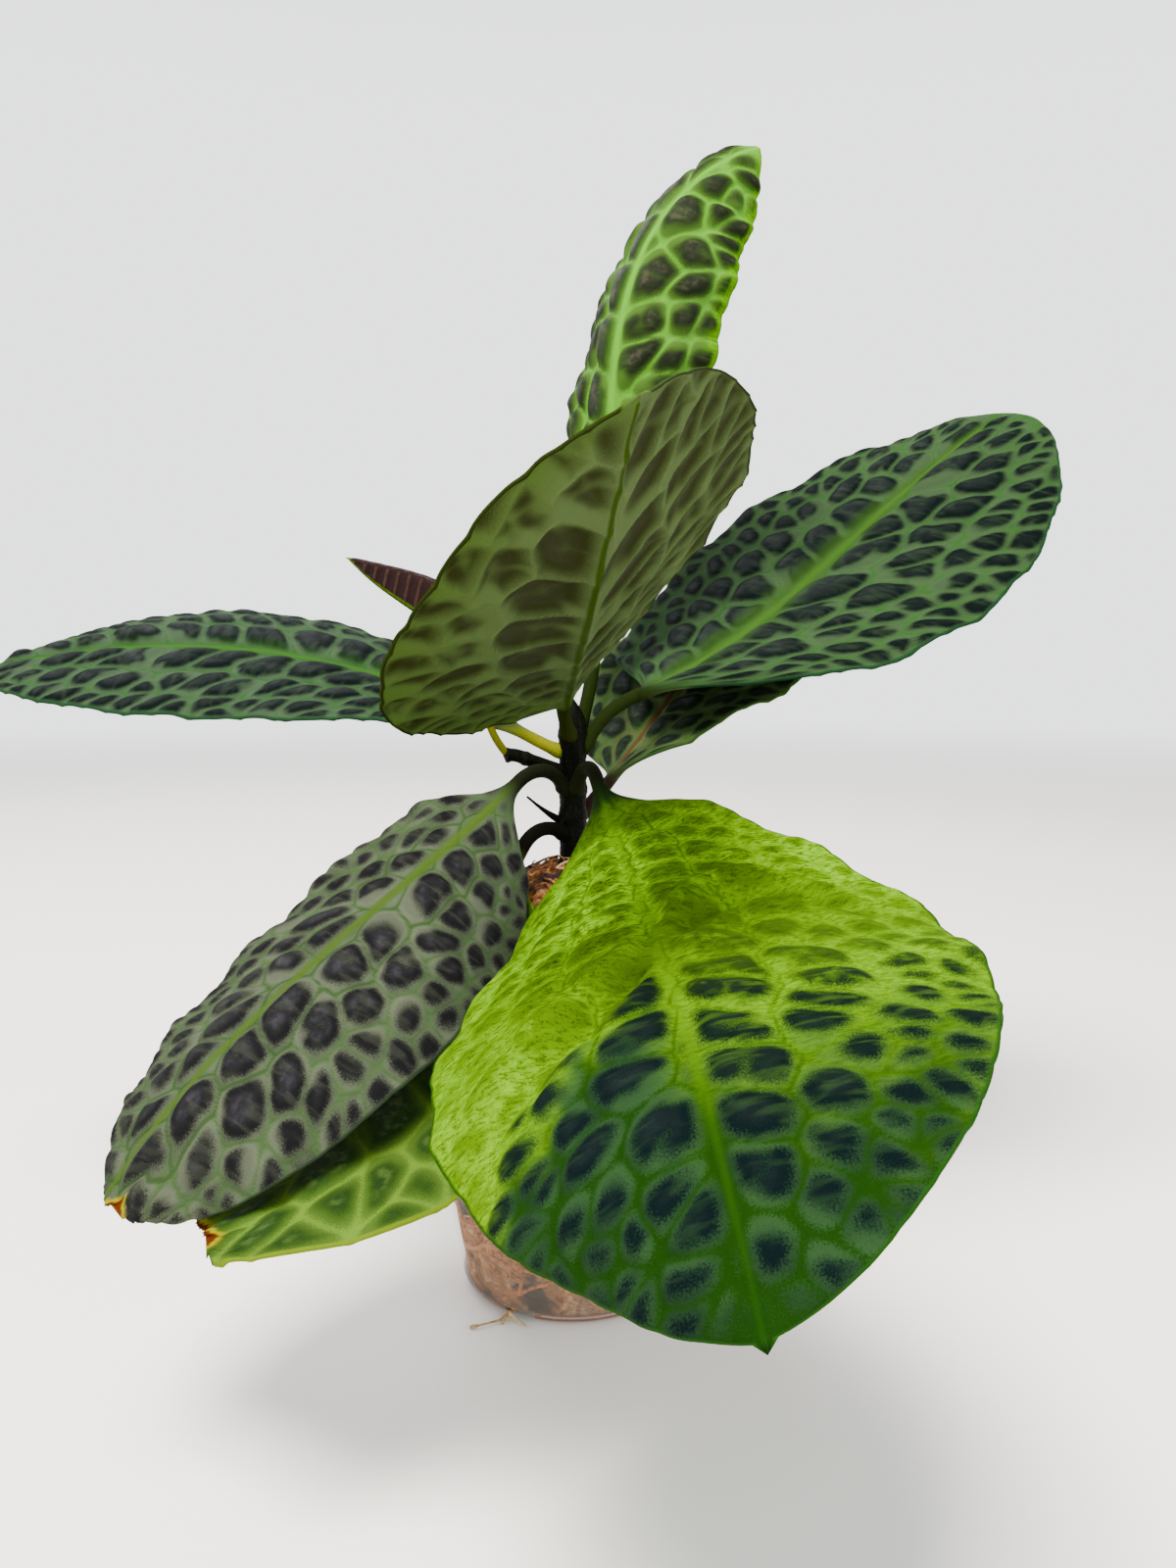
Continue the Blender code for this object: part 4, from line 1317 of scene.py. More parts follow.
FINISHES = {
    "top": LeafFinish(
        net=(122, 182, 84), cell=(36, 40, 31), halo=(92, 128, 62), line=(104, 178, 52), rib=(126, 196, 84),
        margin=(110, 170, 40), stalk=(34, 46, 20), zone=(140, 214, 20), crown=(76, 72, 60), zone_hides=0.5,
        rib_glow=0.2, rib_soft=1.6, fuzz=1.9, net_half=0.8),
    "centre": LeafFinish(
        net=(96, 140, 76), cell=(30, 44, 34), halo=(92, 122, 84), line=(80, 124, 50), rib=(96, 146, 52),
        margin=(46, 54, 26), stalk=(44, 52, 22), zone=(92, 118, 58), back_net=(106, 124, 82),
        back_cell=(54, 58, 31), back_rib=(58, 80, 22), zone_hides=0.2),
    "right": LeafFinish(
        net=(64, 100, 56), cell=(6, 16, 18), halo=(80, 102, 73), line=(50, 86, 40), rib=(74, 110, 50),
        crown=(8, 17, 20), margin=(40, 74, 48), stalk=(36, 46, 20), zone=(92, 160, 40), rib_glow=0.7,
        rib_soft=2.2, ripple=0.16, fuzz=1.5, shine=0.03),
    "left": LeafFinish(
        net=(66, 98, 62), cell=(8, 16, 18), halo=(84, 104, 81), line=(48, 88, 42), rib=(68, 114, 50),
        crown=(9, 15, 18), margin=(46, 78, 52), stalk=(138, 140, 58), zone=(90, 140, 80), rib_glow=0.35,
        rib_soft=1.6, ripple=0.14, fuzz=1.4, shine=0.03),
    "lower_left": LeafFinish(
        net=(87, 109, 75), cell=(15, 13, 21), halo=(129, 137, 117), line=(52, 76, 40), rib=(84, 108, 48),
        margin=(58, 72, 54), stalk=(24, 28, 14), zone=(112, 142, 52), crown=(52, 47, 60), net_half=0.45,
        shine=0.09, ripple=0.1, fuzz=1.6, speckle=1.6, rib_soft=1.3, crack_shows=0.55, vein_shows=0.65),
    "lower_back": LeafFinish(
        net=(126, 162, 76), cell=(38, 64, 27), halo=(94, 124, 60), line=(112, 148, 66), rib=(128, 168, 70),
        margin=(140, 164, 66), stalk=(16, 14, 9), zone=(150, 180, 60), crown=(84, 110, 56), net_half=1.3,
        fuzz=2.4, crack_shows=0.95, rib_soft=1.8, vein_shows=0.15),
    "front": LeafFinish(
        net=(28, 64, 13), cell=(8, 20, 26), halo=(60, 90, 56), line=(28, 64, 14), rib=(38, 80, 14),
        margin=(46, 90, 34), stalk=(30, 34, 18), zone=(150, 206, 4), crown=(14, 30, 32), net_half=0.65,
        fuzz=1.8, zone_hides=0.15, zone_cell=0.34, speckle=2.2, gloss=0.5, rib_shows=0.5, rib_soft=1.8,
        ripple=0.22),
    "right_back": LeafFinish(
        net=(78, 108, 60), cell=(20, 34, 24), halo=(96, 116, 80), line=(110, 84, 58), rib=(92, 56, 44),
        margin=(60, 90, 44), stalk=(44, 32, 26), zone=(60, 120, 40), back_net=(104, 120, 78),
        back_cell=(46, 52, 34), back_rib=(92, 56, 44)),
    # the young leaf's net tint is its pale pleat crests, partly the ribs' colour and partly painted highlight
    "young": LeafFinish(
        net=(122, 104, 92), cell=(28, 18, 18), halo=(98, 76, 70), line=(60, 38, 36), rib=(96, 126, 28),
        margin=(54, 38, 36), stalk=(104, 104, 40), zone=(90, 60, 60), crown=(58, 36, 38),
        back_net=(96, 76, 68), back_cell=(50, 34, 34), back_rib=(96, 126, 28), gloss=0.38),
}

LEAVES = (
    Leaf(
        "leaf_top", height=164, stalk=20, length=176, half_right=31, half_left=36, stalk_heading=60,
        stalk_pitch=60, heading=(69, 34, -2), pitch=(65, 84, 15), roll=(-43, -8, -50), base_power=1.0,
        tip_power=0.54, fold=-12, curl_right=-72, curl_left=-22, finish=FINISHES["top"], seed=11,
        scallop_left=2.4, scallop_pitch=10.0, point=0.5, lit=Lit.RIGHT_EDGE, lit_width=3.5, cells=(11, 3),
        quilt=0.62),
    Leaf(
        "leaf_centre", height=164, stalk=18, length=158, half_right=46, half_left=48, stalk_heading=-105,
        stalk_pitch=49, heading=(-86, -85, -79), pitch=(13, 17, 43), roll=(-35, -31, -38), base_power=0.87,
        tip_power=0.5, fold=11, curl_right=-12, curl_left=2, finish=FINISHES["centre"], seed=32,
        cells=(10, 3), squash=1.1, scallop_left=0.08, scallop_right=0.08, lit=Lit.RIGHT_EDGE,
        lit_width=17.0, under_shown=True, ruffle=0.5, slant=0.7),
    Leaf(
        "leaf_right", height=160, stalk=22, length=171, half_right=67, half_left=59, stalk_heading=5,
        stalk_pitch=69, heading=(27, 32, 4), pitch=(18, 36, 35), roll=(3, -10, -11), base_power=0.38,
        tip_power=0.36, fold=4, curl_right=-12, curl_left=-8, finish=FINISHES["right"], seed=13,
        cells=(11, 4), squash=1.15, point=1.0, scallop_right=0.3, rib_half=1.6),
    Leaf(
        "leaf_left", height=159, stalk=7, length=184, half_right=42, half_left=48, stalk_heading=192,
        stalk_pitch=24, heading=(156, 170, 181), pitch=(24, 7, -15), roll=(-1, 24, 19), base_power=0.54,
        tip_power=0.48, fold=5, curl_right=-30, curl_left=-5, finish=FINISHES["left"], seed=14,
        cells=(13, 3), squash=1.15, scallop_right=1.3, scallop_left=0.15, stalk_radius=1.8, ruffle=0.45,
        marks=((0.17, -0.72, 1.6), (0.2, -0.7, 1.3))),
    Leaf(
        "leaf_lower_left", height=148, stalk=20, length=151, half_right=33, half_left=42,
        stalk_heading=230, stalk_pitch=64, heading=(217, 231, 201), pitch=(-38, -27, -59),
        roll=(50, 4, 22), base_power=0.68, tip_power=0.5, fold=-4, curl_right=-16, curl_left=-33,
        finish=FINISHES["lower_left"], seed=15, cells=(10, 4), scallop_right=1.6, scallop_left=0.2,
        scallop_pitch=8.0, bites=((-0.26, 0.1, 3.6),), runs=(-0.2, 0.0, 6.6, -4.9), quilt=0.36),
    Leaf(
        "leaf_lower_back", height=135, stalk=20, length=135, half_right=36, half_left=41,
        stalk_heading=226, stalk_pitch=35, heading=(235, 243, 205), pitch=(-48, -29, -20),
        roll=(-2, 5, -5), base_power=1.1, tip_power=0.57, fold=2, curl_right=-8, curl_left=-8,
        finish=FINISHES["lower_back"], seed=16, cells=(9, 3), scallop_left=0.2,
        bites=((-0.45, 0.14, 2.2), (-0.05, 0.16, 1.5), (0.6, 0.2, 1.5)), runs=(-0.2, 3.7, 4.5, 4.5),
        ruffle=0.5),
    Leaf(
        "leaf_front", height=148, stalk=25, length=196, half_right=53, half_left=58, stalk_heading=-72,
        stalk_pitch=60, heading=(-77, -86, -79), pitch=(-32, -6, -43), roll=(-38, -13, -31),
        base_power=0.94, tip_power=0.69, fold=-2, curl_right=-32, curl_left=-13, finish=FINISHES["front"],
        seed=17, cells=(17, 4), squash=1.25, scallop_left=0.3, scallop_right=0.3, lit=Lit.BASE_HALF,
        crease=3.0, ruffle=1.0, slant=0.25, rib_half=1.0),
    Leaf(
        "leaf_right_back", height=140, stalk=13, length=125, half_right=39, half_left=37, stalk_heading=50,
        stalk_pitch=32, heading=(46, 45, 16), pitch=(37, 34, 6), roll=(24, -8, -15), base_power=0.66,
        tip_power=0.55, fold=5, curl_right=-12, curl_left=-9, finish=FINISHES["right_back"], seed=18,
        cells=(9, 3), rows=160),
    YoungLeaf(
        "leaf_young", height=158.5, stalk=14, length=78, half_right=12, half_left=12, stalk_heading=200,
        stalk_pitch=48, heading=(144, 136, 150), pitch=(77, 26, 43), roll=(-5, -12, 2), base_power=0.45,
        tip_power=0.77, fold=78, curl_right=-10, curl_left=-2, finish=FINISHES["young"], seed=19,
        start=19.6, stalk_radius=1.1, rows=120, columns=65, scallop_left=0.1, scallop_right=0.1),
)


@dataclass(frozen=True)
class MossFinish:
    """Damp sphagnum and bark: orange-brown straw with painted shade in the hollows and a few cream fibres."""

    straw: Tint = (208, 150, 104)
    rust: Tint = (118, 66, 40)
    # painted shade: dark tint of the hollows between the fibres
    hollow: Tint = (60, 48, 48)
    cream: Tint = (224, 190, 150)
    level: float = 0.62  # what the light leaves for the base colour of straw and rust
    hollow_shade_level: float = 0.55
    fluff_level: float = 0.72
    strand_level: float = 0.50
    grain: float = 0.0012  # height of the fibres in metres

    def material(self, name: str) -> bpy.types.Material:
        """Build the moss: streaks of straw and rust, pale fluff, dark hollows of painted shade and cream
        strands.

        Args:
            name: the material's name.

        Returns:
            The material.
        """
        paint = Paint(name)
        place = paint.place()
        squeezed = paint.stretched(place, (1.0, 1.0, 1.8))
        streak = paint.noise(260.0, 5.0, squeezed, roughness=0.75, distortion=2.0)
        lump = paint.noise(70.0, 3.0, place)
        colour = paint.blend(paint.step(streak, 0.36, 0.64), pigment(self.rust, self.level),
                             pigment(self.straw, self.level))
        fluff = paint.times(paint.step(paint.noise(210.0, 5.0, place, roughness=0.7), 0.50, 0.64), 0.65)
        colour = paint.blend(fluff, colour, pigment(self.cream, self.fluff_level))
        # painted shade: the hollow tint laid in patches of noise
        colour = paint.blend(paint.step(lump, 0.52, 0.38), colour, pigment(self.hollow, self.hollow_shade_level))
        strand = paint.step(paint.channel("tone"), 0.80, 0.95)
        colour = paint.blend(strand, colour, pigment(self.cream, self.strand_level))
        paint.emboss(streak, self.grain)
        return paint.finish(colour, 0.92, Specular_IOR_Level=0.05)


@dataclass(frozen=True)
class RootFinish:
    """Dry roots: orange-brown with darker rings and a pale, worn skin in places."""

    skin: Tint = (206, 132, 80)
    dark: Tint = (134, 76, 46)
    pale: Tint = (226, 180, 136)
    level: float = 0.62  # what the light leaves for the base colour
    grain: float = 0.0003  # height of the mottling in metres

    def material(self, name: str) -> bpy.types.Material:
        """Build the root's skin: fine mottling, darker or paler by each root's own tone.

        Args:
            name: the material's name.

        Returns:
            The material.
        """
        paint = Paint(name)
        mottle = paint.noise(900.0, 4.0, roughness=0.65)
        colour = paint.blend(paint.step(mottle, 0.35, 0.65), pigment(self.dark, self.level),
                             pigment(self.skin, self.level))
        worn = paint.step(paint.channel("tone"), 0.55, 1.0)
        colour = paint.blend(worn, colour, pigment(self.pale, self.level))
        paint.emboss(mottle, self.grain)
        return paint.finish(colour, 0.8, Specular_IOR_Level=0.3)


@dataclass(frozen=True)
class BarkFinish:
    """The stem's skin: nearly black green, with olive streaks and pale pores."""

    skin: Tint = (9, 12, 6)
    olive: Tint = (26, 32, 14)
    pore: Tint = (66, 60, 42)
    grain: float = 0.0003  # height of the streaks in metres

    def material(self, name: str) -> bpy.types.Material:
        """Build the bark: streaks along the stem, with fine pores.

        Args:
            name: the material's name.

        Returns:
            The material.
        """
        paint = Paint(name)
        place = paint.place()
        streak = paint.noise(700.0, 4.0, paint.stretched(place, (1.0, 1.0, 0.25)), roughness=0.6)
        pore = paint.noise(1900.0, 1.0, place)
        colour = paint.blend(paint.step(streak, 0.50, 0.75), pigment(self.skin), pigment(self.olive))
        colour = paint.blend(paint.step(pore, 0.68, 0.76), colour, pigment(self.pore))
        paint.emboss(paint.plus(streak, pore), self.grain)
        return paint.finish(colour, 0.55, Specular_IOR_Level=0.025)


@dataclass(frozen=True)
class ClearFinish:
    """Thin clear plastic: nearly invisible face on, hazy and glossy, with faint scuffs and water marks."""

    body: Tint = (196, 186, 172)
    worn: Tint = (172, 160, 146)
    foot: Tint = (138, 80, 42)  # painted: the moss seen through the foot's thick edge, in place of refraction
    haze: float = 0.08  # least alpha
    marked: float = 0.06  # what scuffs, and again water marks, add to it
    painted_foot_alpha: float = 0.7  # alpha of the foot's edge, where the moss is painted in

    def material(self, name: str) -> bpy.types.Material:
        """Build the clear plastic: alpha from haze and scuffs, with a smooth coat.

        Args:
            name: the material's name.

        Returns:
            The material.
        """
        paint = Paint(name)
        place = paint.place()
        scuff = paint.noise(55.0, 5.0, paint.stretched(place, (1.0, 1.0, 0.35)), roughness=0.7)
        mist = paint.noise(18.0, 3.0, place)
        alpha = paint.plus(self.haze, paint.times(paint.step(scuff, 0.55, 0.75), self.marked))
        alpha = paint.plus(alpha, paint.times(paint.step(mist, 0.45, 0.75), self.marked))
        rough = paint.plus(0.07, paint.times(scuff, 0.14))
        colour = paint.blend(scuff, linear(self.body), linear(self.worn))
        parts = paint.node("ShaderNodeSeparateXYZ")
        paint.feed(parts.inputs[0], place)
        # painted: the lowest few mm take the moss's tint, for the moss that refraction shows through the foot
        low = paint.step(parts.outputs["Z"], 0.0045, 0.0015)
        colour = paint.blend(low, colour, linear(self.foot))
        alpha = paint.most(alpha, paint.times(low, self.painted_foot_alpha))
        return paint.finish(colour, rough, Alpha=alpha, Specular_IOR_Level=0.25, IOR=1.45)


@dataclass
class Cup:
    """The clear flared cup: foot, heel, flared wall, beaded rim and four foot notches."""

    height: float = 96.0
    foot_radius: float = 29.0
    heel: float = 4.6
    flare: float = 10.7
    wall: float = 1.0
    bead: float = 1.4
    sides: int = 144
    floor_ring: float = 14.0  # radius of the floor's innermost ring
    low: float = 6.0  # height where the rows of the straight wall start
    notches: int = 4
    notch_heading: float = 243.0
    notch_width: float = 9.0
    notch_height: float = 3.0
    gap: float = 0.3  # between the wall and the plug
    sharp: float = 50.0  # edges that turn by more than this many degrees are drawn sharp

    def heel_arc(self, inset: float) -> np.ndarray:
        """Arc from the foot up to where the wall leaves it: foot + r sin a across and heel - r cos a up.

        Args:
            inset: how far the arc lies inside the outer face.

        Returns:
            Radii and heights.
        """
        turn = np.linspace(0.0, math.pi / 2 - math.radians(self.flare), 9)
        arc = self.heel - inset
        return np.stack([self.foot_radius + arc * np.sin(turn), self.heel - arc * np.cos(turn)], -1)

    def radius(self, height: np.ndarray, inset: float) -> np.ndarray:
        """Radius of the wall at a height: the heel's end plus the rise times the flare's tangent.

        Args:
            height: heights above the heel.
            inset: how far inside the outer face.

        Returns:
            The radii.
        """
        end = self.heel_arc(inset)[-1]
        return end[0] + (height - end[1]) * math.tan(math.radians(self.flare))

    def profile(self) -> np.ndarray:
        """Outline from the middle of the inner floor up the inside, over the rim and down the outside.

        Returns:
            Radii and heights.
        """
        top, bead, rows = self.height, self.bead, 24
        inner_heights = np.linspace(self.low, top - 1.2, rows)
        outer_heights = np.linspace(top - 3.0, self.low, rows)
        inside = np.stack([self.radius(inner_heights, self.wall), inner_heights], -1)
        outside = np.stack([self.radius(outer_heights, 0.0), outer_heights], -1)
        outer = self.radius(top, 0.0)
        turn = np.linspace(0.5 * math.pi, -0.5 * math.pi, 9)
        rim_radius = outer + bead * (0.25 + 0.75 * np.cos(turn))
        rim = np.stack([rim_radius, top - bead + bead * np.sin(turn)], -1)
        inner = self.radius(top, self.wall)
        lip = np.array([[inner - 0.1, top - 0.3], [inner + 0.3, top]])
        upper_floor = [[0.0, self.wall], [self.floor_ring, self.wall]]
        lower_floor = [[self.floor_ring, 0.0], [0.0, 0.0]]
        return np.concatenate([upper_floor, self.heel_arc(self.wall), inside, lip, rim, outside,
                               self.heel_arc(0.0)[::-1], lower_floor])

    def build(self) -> None:
        """Turn the profile, cut the notches and make the piece."""
        profile = self.profile()
        heading = np.linspace(0.0, 360.0, self.sides, endpoint=False)
        rings = polar(profile[1:-1, 0][:, None], heading[None], profile[1:-1, 1][:, None])
        poles = (np.array([0.0, 0.0, profile[0, 1]]), np.array([0.0, 0.0, profile[-1, 1]]))
        blank = lofted(rings, poles, {"tone": np.zeros(rings.shape[:2])}).mesh("cup")
        headings = [self.notch_heading + 360.0 / self.notches * number for number in range(self.notches)]
        mesh = combined("clear_cup", [blank, *map(self.notch, headings)], "DIFFERENCE")
        mesh.set_sharp_from_angle(angle=math.radians(self.sharp))
        finish_piece("clear_cup", mesh, ClearFinish().material("clear_cup_finish"), ("pot",))

    def notch(self, heading: float) -> bpy.types.Mesh:
        """Make the box that cuts one foot notch.

        Args:
            heading: the notch's direction in degrees.

        Returns:
            The box.
        """
        box = bpy.data.meshes.new("notch_box")
        work = bmesh.new()
        bmesh.ops.create_cube(work, size=1.0)
        size = (2 * self.heel * MM, self.notch_width * MM, 2 * self.notch_height * MM, 1.0)
        work.transform(Matrix.Diagonal(size))
        work.transform(Matrix.Translation(((self.foot_radius + self.heel / 2) * MM, 0.0, 0.0)))
        work.transform(Matrix.Rotation(math.radians(heading), 4, "Z"))
        work.to_mesh(box)
        work.free()
        return box


@dataclass
class Moss:
    """The plug of sphagnum: a fibrous side, a heap round the stem, loose strands and roots along the wall."""

    cup: Cup
    edge: float = 90.5  # height of the heap's edge
    crown: float = 126.5
    hole: float = 4.9  # radius of the stem's hole
    hole_foot: float = 74.0
    rough_top: float = 1.7
    rough_side: float = 0.45
    strands: int = 330
    wall_roots: int = 54

    def heap(self, radius: np.ndarray) -> np.ndarray:
        """Height of the heap: a bell that falls from the crown to the edge, (1 - share squared) to the 1.3.

        Args:
            radius: distances from the stem's axis.

        Returns:
            The heights.
        """
        wide = self.cup.radius(self.edge, self.cup.wall + self.cup.gap)
        share = np.clip(radius / wide, 0.0, 1.0)
        return self.edge + (self.crown - self.edge) * (1.0 - share ** 2) ** 1.3

    def build(self) -> None:
        """Make the plug, its loose strands and the roots along the wall."""
        moss = MossFinish().material("moss_finish")
        finish_piece("moss_plug", self.plug().mesh("moss_plug"), moss, ("substrate",))
        finish_piece("moss_strands", self.loose().mesh("moss_strands"), moss)
        skin = RootFinish().material("root_finish")
        finish_piece("wall_roots", self.roots().mesh("wall_roots"), skin)

    def plug(self) -> Shell:
        """Turn the plug and rough it: the side is pressed in by noise, the top lumps up and down.

        Returns:
            The plug's shell.
        """
        inset, rows = self.cup.wall + self.cup.gap, 90
        wide = float(self.cup.radius(self.edge, inset))
        top_radius = np.linspace(self.hole, wide, rows)
        side_height = np.linspace(self.edge - 0.8, self.cup.low, rows)
        side_radius = self.cup.radius(side_height, inset)
        heel = self.cup.heel_arc(inset)[::-1]
        low = np.linspace(heel[-1, 0], 3.0, 12)[1:]
        radius = np.concatenate([[self.hole, self.hole], top_radius, side_radius, heel[:, 0], low])
        height = np.concatenate([[self.hole_foot, 100.0], self.heap(top_radius), side_height, heel[:, 1],
                                 np.full(len(low), heel[-1, 1])])
        heading = np.linspace(0.0, 360.0, 300, endpoint=False)
        rings = polar(radius[:, None], heading[None], height[:, None])
        coarse = lattice_noise(rings / 5.0, 3)
        fine = lattice_noise(rings / 1.7, 4)
        hair = lattice_noise(rings * np.array([1.0, 1.0, 0.45]) / 0.9, 5)
        rough = 0.9 * coarse + 0.55 * fine + 0.3 * hair
        ring = np.arange(len(radius))
        on_top = (ring >= 3) & (ring < rows + 1)
        on_side = (ring >= rows + 2) & (height > self.cup.low)
        rings[..., 2] += np.where(on_top[:, None], self.rough_top * rough, 0.0)
        press = np.where(on_side[:, None], self.rough_side * (rough - 1.6), 0.0)
        rings[..., :2] *= (1.0 + press / np.maximum(radius, 1.0)[:, None])[..., None]
        tone = np.clip(0.45 + 0.25 * coarse + 0.1 * hair, 0.0, 0.78)
        poles = (np.array([0.0, 0.0, self.hole_foot]), np.array([0.0, 0.0, height[-1]]))
        return lofted(rings, poles, {"tone": tone})

    def loose(self) -> Shell:
        """Strew curly strands over the heap: each runs along the surface with a wavy sideways swing.

        Returns:
            All the strands in one shell.
        """
        rng = np.random.default_rng(21)
        wide = float(self.cup.radius(self.edge, self.cup.wall + self.cup.gap)) - 1.5
        made = []
        for _ in range(self.strands):
            radius = 5.0 + (wide - 6.0) * rng.uniform() ** 0.6
            heading = rng.uniform(0.0, 360.0)
            length = rng.uniform(7.0, 19.0)
            way = rng.uniform(0.0, 2 * math.pi)
            along = np.linspace(-0.5, 0.5, 9)
            swing = rng.uniform(1.0, 2.6)
            swing = swing * np.sin(along * rng.uniform(5.0, 11.0) + rng.uniform(0.0, 6.0))
            middle = polar(radius, heading, 0.0)
            x = middle[0] + length * along * math.cos(way) - swing * math.sin(way)
            y = middle[1] + length * along * math.sin(way) + swing * math.cos(way)
            reach = np.hypot(x, y)
            held = np.clip(reach, 4.2, wide) / np.maximum(reach, 0.1)
            x, y = x * held, y * held
            lift = rng.uniform(0.4, 1.6) + 1.2 * np.sin(along * math.pi * rng.uniform(0.5, 2.0)) ** 2
            path = np.stack([x, y, self.heap(np.hypot(x, y)) + lift], -1)
            thick = rng.uniform(0.22, 0.55) * (1.0 - 0.7 * np.abs(2 * along) ** 3)
            made.append(tube(path, thick, 5, np.array([0.1, 0.05, 1.0]), tone=rng.uniform(0.2, 1.0)))
        return made[0].plus(made[1:])

    def roots(self) -> Shell:
        """Press roots against the wall's inner face: each wanders down and round it on a slow swing.

        Returns:
            All the wall roots in one shell.
        """
        rng = np.random.default_rng(22)
        inset = self.cup.wall + 0.25
        made, count = [], 26
        for _ in range(self.wall_roots):
            thick = rng.uniform(0.45, 1.25)
            top = rng.uniform(14.0, self.edge - 3.0)
            drop = rng.uniform(10.0, 60.0)
            part = np.linspace(0.0, 1.0, count)
            height = np.maximum(top - drop * part, 5.6) + 2.0 * np.sin(part * rng.uniform(3.0, 9.0))
            height = np.clip(height, 5.4, self.edge - 2.0)
            turn = rng.uniform(0.0, 360.0) + rng.uniform(-95.0, 95.0) * part
            turn += 6.0 * np.sin(part * rng.uniform(4.0, 12.0) + rng.uniform(0.0, 6.0))
            radius = self.cup.radius(height, inset) - thick * 0.9
            path = polar(radius, turn, height)
            outward = polar(np.ones(count), turn, np.zeros(count))
            radii = thick * (1.0 - 0.55 * part) * (1.0 + 0.12 * np.sin(part * 31.0))
            made.append(tube(path, radii, 7, outward, tone=rng.uniform(0.0, 1.0)))
        return made[0].plus(made[1:])


@dataclass
class Stem:
    """The short upright stem with its bud, the side twig that carries the young leaf, and the thin spur."""

    foot: float = 74.0
    bare: float = 118.0  # height from which the skin is ringed and dented
    moss: float = 126.5  # height where the stem comes out of the moss
    top: float = 166.5
    radius: float = 4.2
    bud: float = 8.0
    scars: tuple[float, ...] = (164.0, 160.0, 159.0, 148.0, 140.0, 135.0)  # heights where leaves leave it

    def shaft(self) -> Shell:
        """Turn the shaft: even below, knuckled where a leaf leaves it, with fine rings and a pointed bud.

        Returns:
            The shaft's shell.
        """
        height = np.concatenate([[self.foot, 100.0], np.linspace(self.bare, self.top, 120)])
        swell = np.max([np.exp(-((height - scar) / 2.0) ** 2) for scar in self.scars], axis=0)
        radius = np.where(height < self.moss, 1.08, 0.92 + 0.12 * swell) * self.radius
        bud = np.linspace(0.05, 1.0, 16)
        height = np.concatenate([height, self.top + self.bud * bud])
        radius = np.concatenate([radius, self.radius * 0.92 * (1.0 - bud ** 1.6) + 0.25])
        heading = np.linspace(0.0, 360.0, 40, endpoint=False)
        rings = polar(radius[:, None], heading[None], height[:, None])
        dent = 0.10 * lattice_noise(rings / 1.6, 7) + 0.05 * np.sin(height * 4.2)[:, None]
        rings[..., :2] *= (1.0 + dent * (height > self.bare)[:, None] / self.radius)[..., None]
        poles = (np.array([0.0, 0.0, self.foot]), np.array([0.0, 0.0, height[-1] + 0.3]))
        return lofted(rings, poles, {"tone": np.full(rings.shape[:2], 0.5)})

    def twig(self) -> Shell:
        """The side twig, bent up and then level, with a knob at its end.

        Returns:
            The twig's shell.
        """
        reach, heading, foot, rise, count = 19.7, 200.0, 152.5, 6.0, 40
        bends = ((0.05, 0.0), (0.35, 0.36), (0.68, 0.75), (0.88, 0.98), (1.02, 1.0))
        path = smooth_path([polar(reach * out, heading, foot + rise * up) for out, up in bends], count)
        part = np.linspace(0.0, 1.0, count)
        knob, ring = np.exp(-((part - 0.97) / 0.07) ** 2), np.exp(-((part - 0.55) / 0.05) ** 2)
        return tube(path, 1.9 + 0.35 * knob + 0.3 * ring, 24, UP)

    def spur(self) -> Shell:
        """The dry spur, thick at its foot and drawn out to a point.

        Returns:
            The spur's shell.
        """
        reach, heading, foot, rise, count = 13.5, 192.0, 137.5, 8.5, 30
        bends = ((0.0, 0.0), (0.35, 0.22), (0.7, 0.6), (1.0, 1.0))
        path = smooth_path([polar(reach * out, heading, foot + rise * up) for out, up in bends], count)
        part = np.linspace(0.0, 1.0, count)
        return tube(path, 0.35 + 1.7 * (1.0 - part) ** 1.8, 16, UP)

    def build(self) -> None:
        """Join the three by a union and make the piece."""
        parts = [self.shaft().mesh("shaft"), self.twig().mesh("twig"), self.spur().mesh("spur")]
        mesh = combined("dark_stem", parts, "UNION")
        finish_piece("dark_stem", mesh, BarkFinish().material("bark_finish"), ("stem",))


